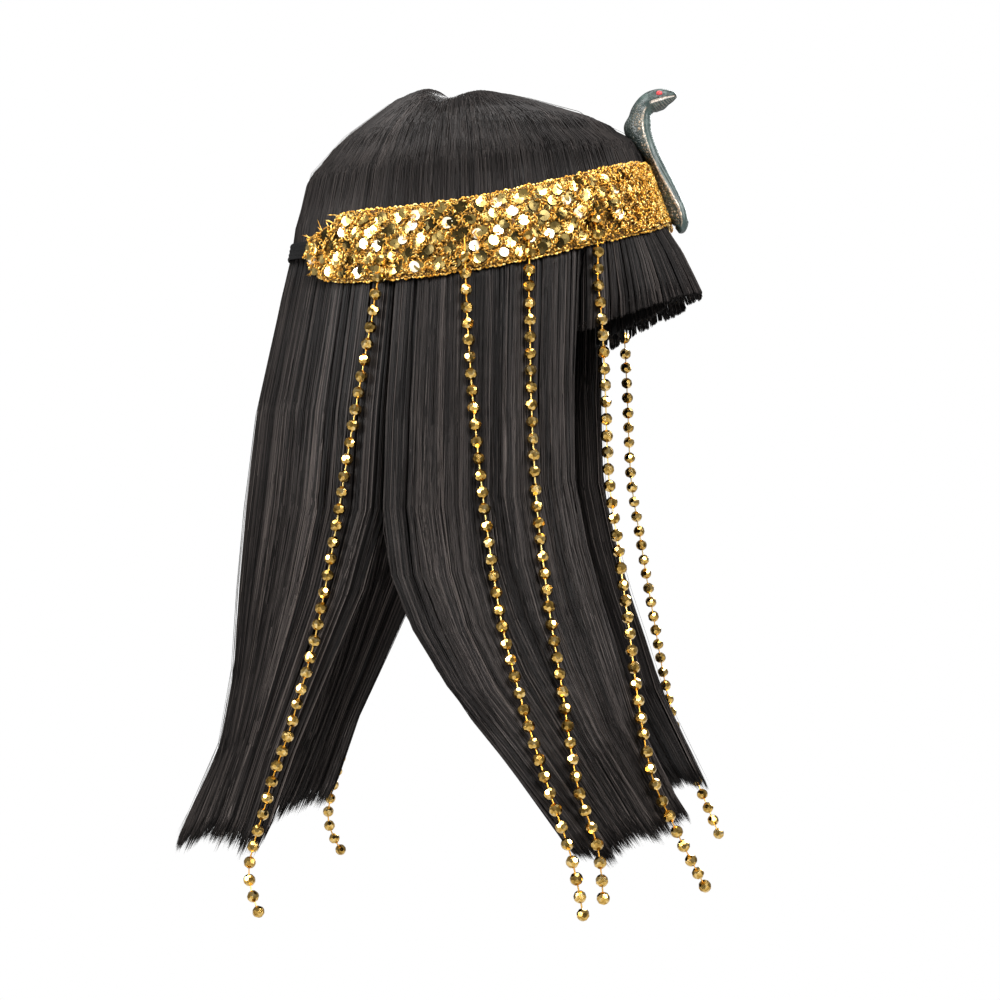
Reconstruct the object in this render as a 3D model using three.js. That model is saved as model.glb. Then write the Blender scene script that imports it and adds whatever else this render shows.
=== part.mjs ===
// A black Egyptian-queen costume wig: hair on a plain cap, a sequinned headband closed by an
// elastic behind the head, a rearing cobra on its front, and bead strings hanging from it.
//
// Millimetres. The wearer faces -Y, +X is the wearer's left and +Z is up. The origin is the
// point inside the top of the cap that rests on the crown of the head. A "turn" is an angle
// round the head in degrees: 0 at the forehead, 90 over an ear, 180 behind, negative on the
// wearer's right. A "drop" is how far something hangs below the band line.

import * as THREE from "three";

// Driving dimensions
const GAP = 0.4;
const HALF_TURN = 180;

// The line round the head on which the headband and the elastic are centred.
const BAND_LINE = { middle: -60.4, frontRise: 13.5, sideDroop: 7.4 };

// The hair's reach from the head's axis on that line.
const HAIR_AT_BAND = { front: 97, side: 90, back: 104 };

// The hair over the head springs from a whorl with a shallow dip across it.
const WHORL = { y: 12.6, top: 24.6, dip: 6.2, dipLength: 9, dipWidth: 44 };

// Rings of the crown, from the whorl outwards. reach is the share of the way to the band line
// in plan, and the other columns give the share of the way down to it over the forehead, over
// an ear and behind the head, where the hair first rises a little.
const CROWN_RINGS = [
  { reach: 0.0, front: 0.0, side: 0.0, back: 0.0 },
  { reach: 0.08, front: 0.008, side: 0.007, back: -0.011 },
  { reach: 0.16, front: 0.027, side: 0.02, back: -0.011 },
  { reach: 0.27, front: 0.07, side: 0.043, back: 0.016 },
  { reach: 0.39, front: 0.132, side: 0.085, back: 0.088 },
  { reach: 0.52, front: 0.2, side: 0.152, back: 0.194 },
  { reach: 0.65, front: 0.273, side: 0.246, back: 0.294 },
  { reach: 0.77, front: 0.365, side: 0.364, back: 0.402 },
  { reach: 0.87, front: 0.515, side: 0.498, back: 0.525 },
  { reach: 0.94, front: 0.73, side: 0.654, back: 0.655 },
  { reach: 1.0, front: 1.0, side: 1.0, back: 1.0 },
];
const CROWN_COLUMNS = 36;

// The cap that carries the hair: its outside at the band line, its wall, how much its front
// leans out with the forehead, the drop at which the hair in front is clear of it, and how far
// its rim drops below that line.
const CAP = { front: 88, side: 77, back: 94, wall: 1.6, lean: 0.35, clearDrop: 24 };
const CAP_RIM = { front: 9, side: 18, back: 50 };
const CAP_RIM_ROWS = 2;

// The outside of the hanging hair, by drop: its reach to the front, to the side in front of the
// shoulder, to the side behind it, and to the back. wall is the hair's depth. Between the two
// turns of SHOULDER the reach goes from the one side's to the other's.
const FALL = [
  { drop: 0, front: 97, side: 90, rear: 90, back: 104, wall: 12 },
  { drop: 20, front: 98.5, side: 91, rear: 91, back: 108.5, wall: 12 },
  { drop: 45, front: 98.5, side: 95, rear: 95, back: 116, wall: 13 },
  { drop: 85, front: 97, side: 98.5, rear: 99, back: 123, wall: 14 },
  { drop: 135, front: 99.5, side: 104, rear: 103, back: 129, wall: 14 },
  { drop: 190, front: 111, side: 114, rear: 107, back: 134, wall: 14 },
  { drop: 240, front: 125, side: 128, rear: 110, back: 137.5, wall: 13 },
  { drop: 285, front: 134, side: 146, rear: 113, back: 149, wall: 11 },
  { drop: 325, front: 142, side: 160, rear: 116, back: 170, wall: 6 },
  { drop: 360, front: 146, side: 167, rear: 118, back: 178, wall: 5 },
];
const SHOULDER = { ahead: 75, behind: 115 };

// The fringe stands further out than the side hair as it falls, most over the forehead.
const FRINGE_FLARE = [
  { drop: 0, flare: 0 },
  { drop: 15, flare: 4.5 },
  { drop: 22, flare: 9.5 },
  { drop: 35, flare: 16 },
  { drop: 52, flare: 24 },
  { drop: 70, flare: 28 },
];
const FRINGE_FADE = { full: 12, none: 54 };
const FRINGE_END = { middle: 51, corner: 64, edgeTurn: 1.9 };

// The hair parts over each shoulder. Each lock's edges, as turns, by drop.
const PARTING = [
  { drop: 0, face: 50, sideRear: 107, nape: 107 },
  { drop: 145, face: 50, sideRear: 106.5, nape: 107.5 },
  { drop: 180, face: 47.5, sideRear: 102.5, nape: 113 },
  { drop: 210, face: 45.5, sideRear: 95, nape: 119 },
  { drop: 235, face: 43.5, sideRear: 86.5, nape: 125 },
  { drop: 255, face: 42, sideRear: 77.5, nape: 128.5 },
  { drop: 280, face: 38.5, sideRear: 68.5, nape: 131 },
  { drop: 303, face: 31, sideRear: 61.5, nape: 130.6 },
  { drop: 325, face: 25, sideRear: 56, nape: 130 },
];
const SIDE_END = { face: 312, rear: 308 };
const BACK_END = { edge: 313, middle: 321 };

// Locks: ridges and furrows that fade in below the band and end in uneven tips.
const LOCKS = { fringe: 11, side: 9, back: 18 };
const FURROW = { start: 24, full: 150, depth: 2.4, tipCut: 0.022, tipSpread: 0.011, tipWave: 2.4 };
const LOCK_EDGE = { sink: 0.3, wall: 0.4 };
const FALL_ROWS = [0, 0.07, 0.15, 0.25, 0.35, 0.46, 0.57, 0.67, 0.76, 0.85, 0.93, 1];
const FRINGE_ROWS = [0, 0.3, 0.55, 0.8, 1];

// The headband and the elastic that joins its ends. Its edges lie that far above and below the
// band line: it is narrower behind the cobra, and its ends taper to the elastic.
const BAND_EDGES = [
  { turn: 0, above: 17.6, below: 12.5 },
  { turn: 10, above: 18, below: 14.6 },
  { turn: 25, above: 18.2, below: 17.6 },
  { turn: 40, above: 18.2, below: 18.2 },
  { turn: 122, above: 18.2, below: 18.2 },
  { turn: 126.5, above: 17.4, below: 17.6 },
  { turn: 130, above: 12.8, below: 16.6 },
  { turn: 134, above: 10, below: 14.4 },
  { turn: 138, above: 7.4, below: 11.6 },
  { turn: 142, above: 5, below: 5 },
];
const BAND = { wall: 2, taperTurn: 122, endTurn: 142 };
const BAND_STEPS = { body: 36, taper: 6, across: 4 };
const STRAP_LIFT = 0.6;
const ELASTIC = { halfWidth: 4.5, wall: 1.2, steps: 12, across: 2 };

// The bead strings of one side, from behind the ear to the temple: the turn of each by drop.
const STRING_TURNS = [
  { drop: 0, nape: 109.5, ear: 86.5, cheek: 68.5, temple: 47 },
  { drop: 25, nape: 110.5, ear: 86, cheek: 68, temple: 46.5 },
  { drop: 65, nape: 112.5, ear: 84.5, cheek: 67, temple: 44.5 },
  { drop: 110, nape: 115, ear: 82, cheek: 66, temple: 42.5 },
  { drop: 155, nape: 117.5, ear: 79, cheek: 65, temple: 41.5 },
  { drop: 200, nape: 121, ear: 76, cheek: 64, temple: 42.5 },
  { drop: 245, nape: 126.5, ear: 71.5, cheek: 62.5, temple: 44 },
  { drop: 285, nape: 130, ear: 66.5, cheek: 60.5, temple: 43 },
  { drop: 320, nape: 128.5, ear: 62.5, cheek: 57, temple: 38 },
  { drop: 360, nape: 120, ear: 60, cheek: 56.5, temple: 29 },
];
const STRING = { radius: 3, sides: 8, steps: 23, points: 16 };
const STRING_END = { nape: 345, ear: 347, cheek: 342, temple: 354 };
const BAND_LIFT_ENDS = { stays: 23, gone: 42 };
const FRINGE_LIFT_ENDS = { stays: 64, gone: 150 };

// The cobra, from its foot under the band to its snout: its line in the plane of symmetry, its
// depth in front of and behind that line, and its half width.
const COBRA_SECTIONS = [
  { y: -108.6, z: -56.0, belly: 1.2, spine: 1.4, half: 3.2 },
  { y: -110.4, z: -54.6, belly: 2.6, spine: 3.0, half: 6.4 },
  { y: -111.3, z: -50.2, belly: 3.2, spine: 6.4, half: 7.4 },
  { y: -110.7, z: -45.4, belly: 3.0, spine: 8.0, half: 7.2 },
  { y: -107.9, z: -38.4, belly: 2.9, spine: 7.6, half: 7.0 },
  { y: -104.0, z: -30.7, belly: 3.2, spine: 6.3, half: 7.6 },
  { y: -99.2, z: -22.4, belly: 3.9, spine: 5.2, half: 9.0 },
  { y: -96.6, z: -18.2, belly: 4.5, spine: 4.2, half: 9.8 },
  { y: -94.0, z: -14.2, belly: 5.3, spine: 5.2, half: 10.5 },
  { y: -91.7, z: -10.2, belly: 6.0, spine: 6.2, half: 11.0 },
  { y: -89.8, z: -6.2, belly: 6.5, spine: 7.0, half: 11.2 },
  { y: -88.2, z: 0.9, belly: 6.6, spine: 9.0, half: 10.4 },
  { y: -88.6, z: 7.1, belly: 5.8, spine: 6.4, half: 8.0 },
  { y: -90.8, z: 12.0, belly: 5.2, spine: 5.8, half: 6.6 },
  { y: -94.4, z: 15.0, belly: 6.4, spine: 5.7, half: 7.3 },
  { y: -98.8, z: 16.4, belly: 6.3, spine: 5.4, half: 7.2 },
  { y: -103.0, z: 17.3, belly: 4.3, spine: 4.1, half: 5.5 },
  { y: -106.2, z: 17.7, belly: 2.6, spine: 2.5, half: 3.7 },
  { y: -108.0, z: 17.8, belly: 0.9, spine: 0.9, half: 1.6 },
];
const COBRA_SIDES = 14;

// Small helpers

const SAME_PLACE = 1e-6;
const SMALL_STEP = 0.5;
const CROWN_SEARCH = { from: 0.5, halvings: 30 };

const { degToRad, lerp, smoothstep } = THREE.MathUtils;

// A table's column at a place along its key column, on a curve that never overshoots its rows.
function lookUp(table, key, at, column) {
  const last = table.length - 1;
  const found = table.findIndex((row) => row[key] > at);
  const low = found < 0 ? last - 1 : Math.max(found - 1, 0);
  const rise = (i) => {
    const j = Math.min(Math.max(i, 0), last - 1);
    return (table[j + 1][column] - table[j][column]) / (table[j + 1][key] - table[j][key]);
  };
  const slope = (before, after) => (before * after > 0 ? (2 * before * after) / (before + after) : 0);
  const span = table[low + 1][key] - table[low][key];
  const t = Math.min(Math.max((at - table[low][key]) / span, 0), 1);
  const startSlope = slope(rise(low - 1), rise(low)) * span;
  const endSlope = slope(rise(low), rise(low + 1)) * span;
  const [a, b] = [table[low][column], table[low + 1][column]];
  const t2 = t * t;
  const t3 = t2 * t;
  return (
    a * (2 * t3 - 3 * t2 + 1) +
    startSlope * (t3 - 2 * t2 + t) +
    b * (3 * t2 - 2 * t3) +
    endSlope * (t3 - t2)
  );
}

// A point on an oval round the head's axis, at a height.
function ovalPoint(front, side, back, turn, z) {
  const along = Math.cos(degToRad(turn));
  return new THREE.Vector3(side * Math.sin(degToRad(turn)), -along * (along > 0 ? front : back), z);
}

// A value that goes smoothly from the forehead's to the side's to the back's.
function roundHead(front, side, back, turn) {
  const share = Math.cos(degToRad(turn)) ** 2;
  return lerp(side, Math.cos(degToRad(turn)) > 0 ? front : back, share);
}

function bandLineHeight(turn) {
  const angle = degToRad(turn);
  const { middle, frontRise, sideDroop } = BAND_LINE;
  return middle + frontRise * Math.cos(angle) + sideDroop * Math.cos(2 * angle);
}

// Evenly spaced numbers from one end to the other, both included.
function spread(start, end, steps) {
  return Array.from({ length: steps + 1 }, (_, i) => lerp(start, end, i / steps));
}

// A closed wall between an outer and an inner grid of points, both indexed [row][column].
// Equal points share a vertex, so a row may shrink to a pole and the columns may join up.
function wallGeometry(outer, inner) {
  const positions = [];
  const known = new Map();
  const index = [];
  const vertex = (p) => {
    const name = p.toArray().map((n) => n.toFixed(4)).join(" ");
    if (!known.has(name)) {
      known.set(name, positions.length / 3);
      positions.push(p.x, p.y, p.z);
    }
    return known.get(name);
  };
  const triangle = (a, b, c) => {
    if (a !== b && b !== c && c !== a) index.push(a, b, c);
  };
  const quad = (a, b, c, d) => {
    const [va, vb, vc, vd] = [a, b, c, d].map(vertex);
    triangle(va, vb, vc);
    triangle(va, vc, vd);
  };
  const rows = outer.length - 1;
  const columns = outer[0].length - 1;
  const closedRound = outer[rows][0].distanceTo(outer[rows][columns]) < SAME_PLACE;
  const startsAtPole = outer[0][0].distanceTo(outer[0][1]) < SAME_PLACE;
  for (let r = 0; r < rows; r++) {
    for (let c = 0; c < columns; c++) {
      quad(outer[r][c], outer[r + 1][c], outer[r + 1][c + 1], outer[r][c + 1]);
      quad(inner[r][c], inner[r][c + 1], inner[r + 1][c + 1], inner[r + 1][c]);
    }
    if (!closedRound) {
      quad(outer[r][0], inner[r][0], inner[r + 1][0], outer[r + 1][0]);
      quad(outer[r][columns], outer[r + 1][columns], inner[r + 1][columns], inner[r][columns]);
    }
  }
  for (let c = 0; c < columns; c++) {
    if (!startsAtPole) quad(outer[0][c], outer[0][c + 1], inner[0][c + 1], inner[0][c]);
    quad(outer[rows][c], inner[rows][c], inner[rows][c + 1], outer[rows][c + 1]);
  }
  const geometry = new THREE.BufferGeometry();
  geometry.setAttribute("position", new THREE.Float32BufferAttribute(positions, 3));
  geometry.setIndex(index);
  geometry.computeVertexNormals();
  return geometry;
}

// The hair's outer surface

// A point on the crown at a ring's reach, and the shares of its drop.
function crownPoint(turn, ring) {
  const share = roundHead(ring.front, ring.side, ring.back, turn);
  const { front, side, back } = HAIR_AT_BAND;
  const edge = ovalPoint(front, side, back, turn, bandLineHeight(turn));
  const point = new THREE.Vector3(0, WHORL.y, WHORL.top).lerp(edge, ring.reach);
  const dip =
    WHORL.dip *
    Math.exp(-(((point.y - WHORL.y) / WHORL.dipLength) ** 2)) *
    Math.exp(-((point.x / WHORL.dipWidth) ** 2));
  point.z = lerp(WHORL.top, edge.z, share) - dip;
  return point;
}

// The crown's ring at any reach, between the rows of its table.
function crownRing(reach) {
  const column = (name) => lookUp(CROWN_RINGS, "reach", reach, name);
  return { reach, front: column("front"), side: column("side"), back: column("back") };
}

// A point on the crown that far above the band line, found by halving the reach.
function crownAbove(turn, rise) {
  let [low, high] = [CROWN_SEARCH.from, 1];
  for (let i = 0; i < CROWN_SEARCH.halvings; i++) {
    const reach = (low + high) / 2;
    const tooHigh = crownPoint(turn, crownRing(reach)).z > bandLineHeight(turn) + rise;
    [low, high] = tooHigh ? [reach, high] : [low, reach];
  }
  return crownPoint(turn, crownRing(low));
}

// The reaches of the hanging hair at a drop. The sides behind the shoulder have their own.
function fallReaches(turn, drop) {
  const column = (name) => lookUp(FALL, "drop", drop, name);
  const rear = smoothstep(Math.abs(turn), SHOULDER.ahead, SHOULDER.behind);
  return {
    front: column("front"),
    side: lerp(column("side"), column("rear"), rear),
    back: column("back"),
    wall: column("wall"),
  };
}

// How much further out the fringe stands than the side hair.
function fringeFlare(turn, drop) {
  const fade = 1 - smoothstep(Math.abs(turn), FRINGE_FADE.full, FRINGE_FADE.none);
  return fade * lookUp(FRINGE_FLARE, "drop", drop, "flare");
}

// A point on the outside of the hanging hair. height is the band line's above it.
function fallPoint(turn, drop, height, flare = 0) {
  const { front, side, back } = fallReaches(turn, drop);
  return ovalPoint(front + flare, side, back, turn, height - drop);
}

// A point on the hair under the headband, above or below the band line.
function underBand(turn, rise) {
  if (rise >= 0) return crownAbove(turn, rise);
  return fallPoint(turn, -rise, bandLineHeight(turn), fringeFlare(turn, -rise));
}

// The direction out of a surface of two parameters, from small steps on it.
function outwards(surface, turn, along) {
  const across = surface(turn + SMALL_STEP, along).sub(surface(turn - SMALL_STEP, along));
  const down = surface(turn, along + SMALL_STEP).sub(surface(turn, along - SMALL_STEP));
  const normal = across.cross(down).normalize();
  const point = surface(turn, along);
  return normal.x * point.x + normal.y * point.y < 0 ? normal.negate() : normal;
}

// The cap

// A point of the cap's dome, grown outwards by a little.
function capPoint(turn, reach, grow) {
  const { front, side, back, wall } = CAP;
  const top = wall + grow;
  const edge = ovalPoint(front + grow, side + grow, back + grow, turn, bandLineHeight(turn));
  const share = 1 - Math.sqrt(1 - reach * reach);
  return new THREE.Vector3(0, 0, top).lerp(edge, reach).setZ(lerp(top, edge.z, share));
}

// A point of the cap's edge below the band line. depth runs from 0 to 1 at the rim.
function capEdgePoint(turn, depth, grow) {
  const { front, side, back, lean } = CAP;
  const drop = depth * roundHead(CAP_RIM.front, CAP_RIM.side, CAP_RIM.back, turn);
  const height = bandLineHeight(turn) - drop;
  return ovalPoint(front + grow + lean * drop, side + grow, back + grow, turn, height);
}

const crownTurns = spread(-HALF_TURN, HALF_TURN, CROWN_COLUMNS).map((turn, i) =>
  i === CROWN_COLUMNS ? -HALF_TURN : turn,
);

function capGeometry() {
  const grid = (grow) => [
    ...CROWN_RINGS.map(({ reach }) => crownTurns.map((turn) => capPoint(turn, reach, grow))),
    ...spread(0, 1, CAP_RIM_ROWS)
      .slice(1)
      .map((depth) => crownTurns.map((turn) => capEdgePoint(turn, depth, grow))),
  ];
  return wallGeometry(grid(0), grid(-CAP.wall));
}

// The hair

function crownGeometry() {
  const lift = (point, ring) => (ring.reach === 1 ? point.setZ(point.z + GAP / 2) : point);
  const outer = CROWN_RINGS.map((ring) =>
    crownTurns.map((turn) => lift(crownPoint(turn, ring), ring)),
  );
  const inner = CROWN_RINGS.map((ring) =>
    crownTurns.map((turn) => lift(capPoint(turn, ring.reach, GAP), ring)),
  );
  return wallGeometry(outer, inner);
}

// A hanging lock of hair. turnAt(across, drop) gives the turn of a column, across 0 to 1,
// endAt(across) the drop of its tip, and flareAt(turn, drop) how far it stands out.
function lockGeometry({ locks, rows, turnAt, endAt, flareAt }) {
  const columns = 2 * locks;
  const outer = [];
  const inner = [];
  for (const share of rows) {
    const outerRow = [];
    const innerRow = [];
    for (let c = 0; c <= columns; c++) {
      const across = c / columns;
      const onEdge = c === 0 || c === columns;
      const inFurrow = c % 2 === 0;
      const tipCut = inFurrow && !onEdge ? FURROW.tipCut : 0;
      const end = endAt(across) * (1 - tipCut + FURROW.tipSpread * Math.sin(FURROW.tipWave * c));
      const drop = share * end;
      const turn = turnAt(across, drop);
      const height = bandLineHeight(turnAt(across, 0)) - GAP / 2;
      const reaches = fallReaches(turn, drop);
      const flare = flareAt(turn, drop);
      const sunk = inFurrow ? FURROW.depth * smoothstep(drop, FURROW.start, FURROW.full) : 0;
      const edge = onEdge ? smoothstep(drop, FURROW.start, FURROW.full) : 0;
      const outside = sunk + edge * LOCK_EDGE.sink * reaches.wall;
      const wall = reaches.wall * (1 - edge * (1 - LOCK_EDGE.wall));
      const inReach = (reach, cap) => Math.max(reach - outside - wall, cap + GAP);
      const capFront = drop < CAP.clearDrop ? CAP.front + CAP.lean * drop : 0;
      const { front, side, back } = reaches;
      const z = height - drop;
      outerRow.push(ovalPoint(front + flare - outside, side - outside, back - outside, turn, z));
      innerRow.push(
        ovalPoint(
          inReach(front + flare, capFront),
          inReach(side, CAP.side),
          inReach(back, CAP.back),
          turn,
          z,
        ),
      );
    }
    outer.push(outerRow);
    inner.push(innerRow);
  }
  return wallGeometry(outer, inner);
}

const parting = (drop, column) => lookUp(PARTING, "drop", drop, column);
const gapTurn = GAP; // at about 100 mm from the axis a gap in mm is under twice its turn in degrees

function fringeGeometry() {
  const edge = PARTING[0].face - FRINGE_END.edgeTurn;
  return lockGeometry({
    locks: LOCKS.fringe,
    rows: FRINGE_ROWS,
    turnAt: (across) => lerp(-edge, edge, across),
    endAt: (across) => lerp(FRINGE_END.middle, FRINGE_END.corner, (2 * across - 1) ** 2),
    flareAt: fringeFlare,
  });
}

// The hair in front of one shoulder. side is 1 on the wearer's left and -1 on the right.
function sideHairGeometry(side) {
  return lockGeometry({
    locks: LOCKS.side,
    rows: FALL_ROWS,
    turnAt: (across, drop) => {
      const edges = [parting(drop, "face"), parting(drop, "sideRear") - gapTurn];
      return side * lerp(edges[0], edges[1], side > 0 ? across : 1 - across);
    },
    endAt: (across) => lerp(SIDE_END.face, SIDE_END.rear, side > 0 ? across : 1 - across),
    flareAt: () => 0,
  });
}

function backHairGeometry() {
  return lockGeometry({
    locks: LOCKS.back,
    rows: FALL_ROWS,
    turnAt: (across, drop) => {
      const edge = parting(drop, "nape") + gapTurn;
      return lerp(edge, 2 * HALF_TURN - edge, across);
    },
    endAt: (across) => lerp(BACK_END.middle, BACK_END.edge, (2 * across - 1) ** 2),
    flareAt: () => 0,
  });
}

// The headband and its elastic

// A point on a strip that hugs the hair: rise above the band line, and lift off the hair.
function strapPoint(turn, rise, lift) {
  return underBand(turn, rise).addScaledVector(outwards(underBand, turn, rise), lift);
}

// A strip's wall. reachAt(turn, share) is how far it reaches to the side that the share is on.
function strapGeometry(turns, reachAt, across, wall) {
  const shares = spread(1, -1, across);
  const rise = (turn, share) => share * reachAt(turn, share);
  const grid = (lift) =>
    shares.map((share) => turns.map((turn) => strapPoint(turn, rise(turn, share), lift)));
  return wallGeometry(grid(STRAP_LIFT + wall), grid(STRAP_LIFT));
}

function bandReach(turn, share) {
  return lookUp(BAND_EDGES, "turn", Math.abs(turn), share > 0 ? "above" : "below");
}

function headbandGeometry() {
  const taper = spread(BAND.taperTurn, BAND.endTurn, BAND_STEPS.taper).slice(1);
  const turns = [
    ...taper.map((turn) => -turn).reverse(),
    ...spread(-BAND.taperTurn, BAND.taperTurn, BAND_STEPS.body),
    ...taper,
  ];
  return strapGeometry(turns, bandReach, BAND_STEPS.across, BAND.wall);
}

function elasticGeometry() {
  const start = BAND.endTurn + gapTurn;
  const turns = spread(start, 2 * HALF_TURN - start, ELASTIC.steps);
  return strapGeometry(turns, () => ELASTIC.halfWidth, ELASTIC.across, ELASTIC.wall);
}

// The bead strings

// One string's route: over the headband from its middle, down on to the hair, and past its end.
function stringRoute(place, side) {
  const surface = (turn, drop) => {
    const { stays, gone } = FRINGE_LIFT_ENDS;
    const flare = fringeFlare(turn, drop) * (1 - smoothstep(drop, stays, gone));
    return fallPoint(turn, drop, bandLineHeight(turn), flare);
  };
  return spread(0, STRING_END[place], STRING.points).map((drop) => {
    const turn = side * lookUp(STRING_TURNS, "drop", drop, place);
    const overBand = 1 - smoothstep(drop, BAND_LIFT_ENDS.stays, BAND_LIFT_ENDS.gone);
    const lift = STRING.radius + GAP + overBand * (STRAP_LIFT + BAND.wall);
    return surface(turn, drop).addScaledVector(outwards(surface, turn, drop), lift);
  });
}

function stringGeometry(place, side) {
  const section = new THREE.Shape();
  for (let i = 0; i < STRING.sides; i++) {
    const angle = (2 * Math.PI * i) / STRING.sides;
    const corner = [STRING.radius * Math.cos(angle), STRING.radius * Math.sin(angle)];
    if (i === 0) section.moveTo(...corner);
    else section.lineTo(...corner);
  }
  section.closePath();
  return new THREE.ExtrudeGeometry(section, {
    steps: STRING.steps,
    bevelEnabled: false,
    extrudePath: new THREE.CatmullRomCurve3(stringRoute(place, side)),
  });
}

// The cobra

// An oval section across the cobra's line, deeper in front or behind as its row says.
function cobraSection(i) {
  const row = COBRA_SECTIONS[i];
  const before = COBRA_SECTIONS[Math.max(i - 1, 0)];
  const after = COBRA_SECTIONS[Math.min(i + 1, COBRA_SECTIONS.length - 1)];
  const along = new THREE.Vector3(0, after.y - before.y, after.z - before.z).normalize();
  const forward = new THREE.Vector3(1, 0, 0).cross(along);
  return spread(0, 2 * Math.PI, COBRA_SIDES).slice(0, -1).map((angle) => {
    const depth = Math.cos(angle) * (Math.cos(angle) > 0 ? row.belly : row.spine);
    return new THREE.Vector3(row.half * Math.sin(angle), row.y, row.z).addScaledVector(forward, depth);
  });
}

function cobraGeometry() {
  const rings = COBRA_SECTIONS.map((_, i) => cobraSection(i));
  const positions = rings.flat().flatMap((p) => p.toArray());
  const index = [];
  const at = (ring, side) => ring * COBRA_SIDES + (side % COBRA_SIDES);
  for (let r = 0; r + 1 < rings.length; r++) {
    for (let s = 0; s < COBRA_SIDES; s++) {
      index.push(at(r, s), at(r, s + 1), at(r + 1, s + 1));
      index.push(at(r, s), at(r + 1, s + 1), at(r + 1, s));
    }
  }
  for (let s = 1; s + 1 < COBRA_SIDES; s++) {
    index.push(at(0, 0), at(0, s + 1), at(0, s));
    index.push(at(rings.length - 1, 0), at(rings.length - 1, s), at(rings.length - 1, s + 1));
  }
  const geometry = new THREE.BufferGeometry();
  geometry.setAttribute("position", new THREE.Float32BufferAttribute(positions, 3));
  geometry.setIndex(index);
  geometry.computeVertexNormals();
  return geometry;
}

// Assembly

const hairFinish = { color: 0x1c1a1b, roughness: 0.5, metalness: 0 };
const goldFinish = { color: 0xd6a437, roughness: 0.25, metalness: 0.9 };
const finishes = {
  net: new THREE.MeshStandardMaterial({ color: 0x141313, roughness: 0.9, metalness: 0 }),
  hair: new THREE.MeshStandardMaterial(hairFinish),
  sequins: new THREE.MeshStandardMaterial({ ...goldFinish, roughness: 0.35 }),
  beads: new THREE.MeshStandardMaterial(goldFinish),
  elastic: new THREE.MeshStandardMaterial({ color: 0x202022, roughness: 0.85, metalness: 0 }),
  cobra: new THREE.MeshStandardMaterial({ color: 0x39463f, roughness: 0.5, metalness: 0.2 }),
};

const wig = new THREE.Group();

function addPiece(parent, name, geometry, finish) {
  const mesh = new THREE.Mesh(geometry, finish);
  mesh.name = name;
  parent.add(mesh);
}

const hair = new THREE.Group();
addPiece(hair, "cap", capGeometry(), finishes.net);
addPiece(hair, "crown_hair", crownGeometry(), finishes.hair);
addPiece(hair, "fringe", fringeGeometry(), finishes.hair);
addPiece(hair, "side_hair_left", sideHairGeometry(1), finishes.hair);
addPiece(hair, "side_hair_right", sideHairGeometry(-1), finishes.hair);
addPiece(hair, "back_hair", backHairGeometry(), finishes.hair);
wig.add(hair);

const headdress = new THREE.Group();
addPiece(headdress, "headband", headbandGeometry(), finishes.sequins);
addPiece(headdress, "back_elastic", elasticGeometry(), finishes.elastic);
addPiece(headdress, "cobra", cobraGeometry(), finishes.cobra);
for (const [hand, side] of [["left", 1], ["right", -1]]) {
  for (const place of Object.keys(STRING_END)) {
    addPiece(headdress, `bead_string_${place}_${hand}`, stringGeometry(place, side), finishes.beads);
  }
}
wig.add(headdress);

export default wig;
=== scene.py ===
import bpy
import numpy as np
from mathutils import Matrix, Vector


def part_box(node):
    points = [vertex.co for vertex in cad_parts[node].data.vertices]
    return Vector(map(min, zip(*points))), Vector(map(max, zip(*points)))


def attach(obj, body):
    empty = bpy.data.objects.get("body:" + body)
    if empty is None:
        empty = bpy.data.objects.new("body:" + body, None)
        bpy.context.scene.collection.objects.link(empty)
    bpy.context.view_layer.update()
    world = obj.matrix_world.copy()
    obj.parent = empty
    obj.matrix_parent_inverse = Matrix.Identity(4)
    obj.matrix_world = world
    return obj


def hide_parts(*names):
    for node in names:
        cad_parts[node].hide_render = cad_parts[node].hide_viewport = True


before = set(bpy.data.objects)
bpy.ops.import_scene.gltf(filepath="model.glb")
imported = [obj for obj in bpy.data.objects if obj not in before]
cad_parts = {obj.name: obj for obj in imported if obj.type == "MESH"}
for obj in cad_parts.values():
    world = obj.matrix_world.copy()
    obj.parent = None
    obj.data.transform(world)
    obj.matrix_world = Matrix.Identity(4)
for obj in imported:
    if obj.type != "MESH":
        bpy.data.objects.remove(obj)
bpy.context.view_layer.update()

# The cap: a hood of elastic net that grips the head and carries the hair, sewn on in rows.
# It is knitted from black yarn, with its rim turned in and bound, and the hair hides it from outside.

MM = 0.001
NET = {"meshes": 420.0, "rows": 640.0, "relief": 0.6}


def set_out(name, data):
    """A new piece, lamp or camera in the scene."""
    thing = bpy.data.objects.new(name, data)
    bpy.context.scene.collection.objects.link(thing)
    return thing


def pick_up(piece):
    """Leaves only this piece selected, for the tools to act on."""
    bpy.ops.object.select_all(action="DESELECT")
    piece.select_set(True)
    bpy.context.view_layer.objects.active = piece


def open_mesh(piece):
    """Opens a piece's mesh for the tools, selected all over."""
    pick_up(piece)
    bpy.ops.object.mode_set(mode="EDIT")
    bpy.ops.mesh.select_all(action="SELECT")


def close_mesh():
    bpy.ops.object.mode_set(mode="OBJECT")


def cast_of(node, name):
    """A new piece with a solid's shape, its loose triangles joined up."""
    piece = set_out(name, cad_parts[node].data.copy())
    piece.data.materials.clear()
    open_mesh(piece)
    bpy.ops.mesh.remove_doubles(threshold=0.02 * MM)
    close_mesh()
    bpy.ops.object.shade_smooth()
    return piece


def shaped(piece, kind, **settings):
    """Shapes a piece with one modifier, applied at once."""
    modifier = piece.modifiers.new(kind.lower(), kind)
    for name, value in settings.items():
        setattr(modifier, name, value)
    pick_up(piece)
    bpy.ops.object.modifier_apply(modifier=modifier.name)


def fix_on(piece, node=None):
    """Fixes a finished piece to the wig, in place of the solid that it dresses, if there is one."""
    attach(piece, "root")
    if node:
        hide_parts(node)


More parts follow.
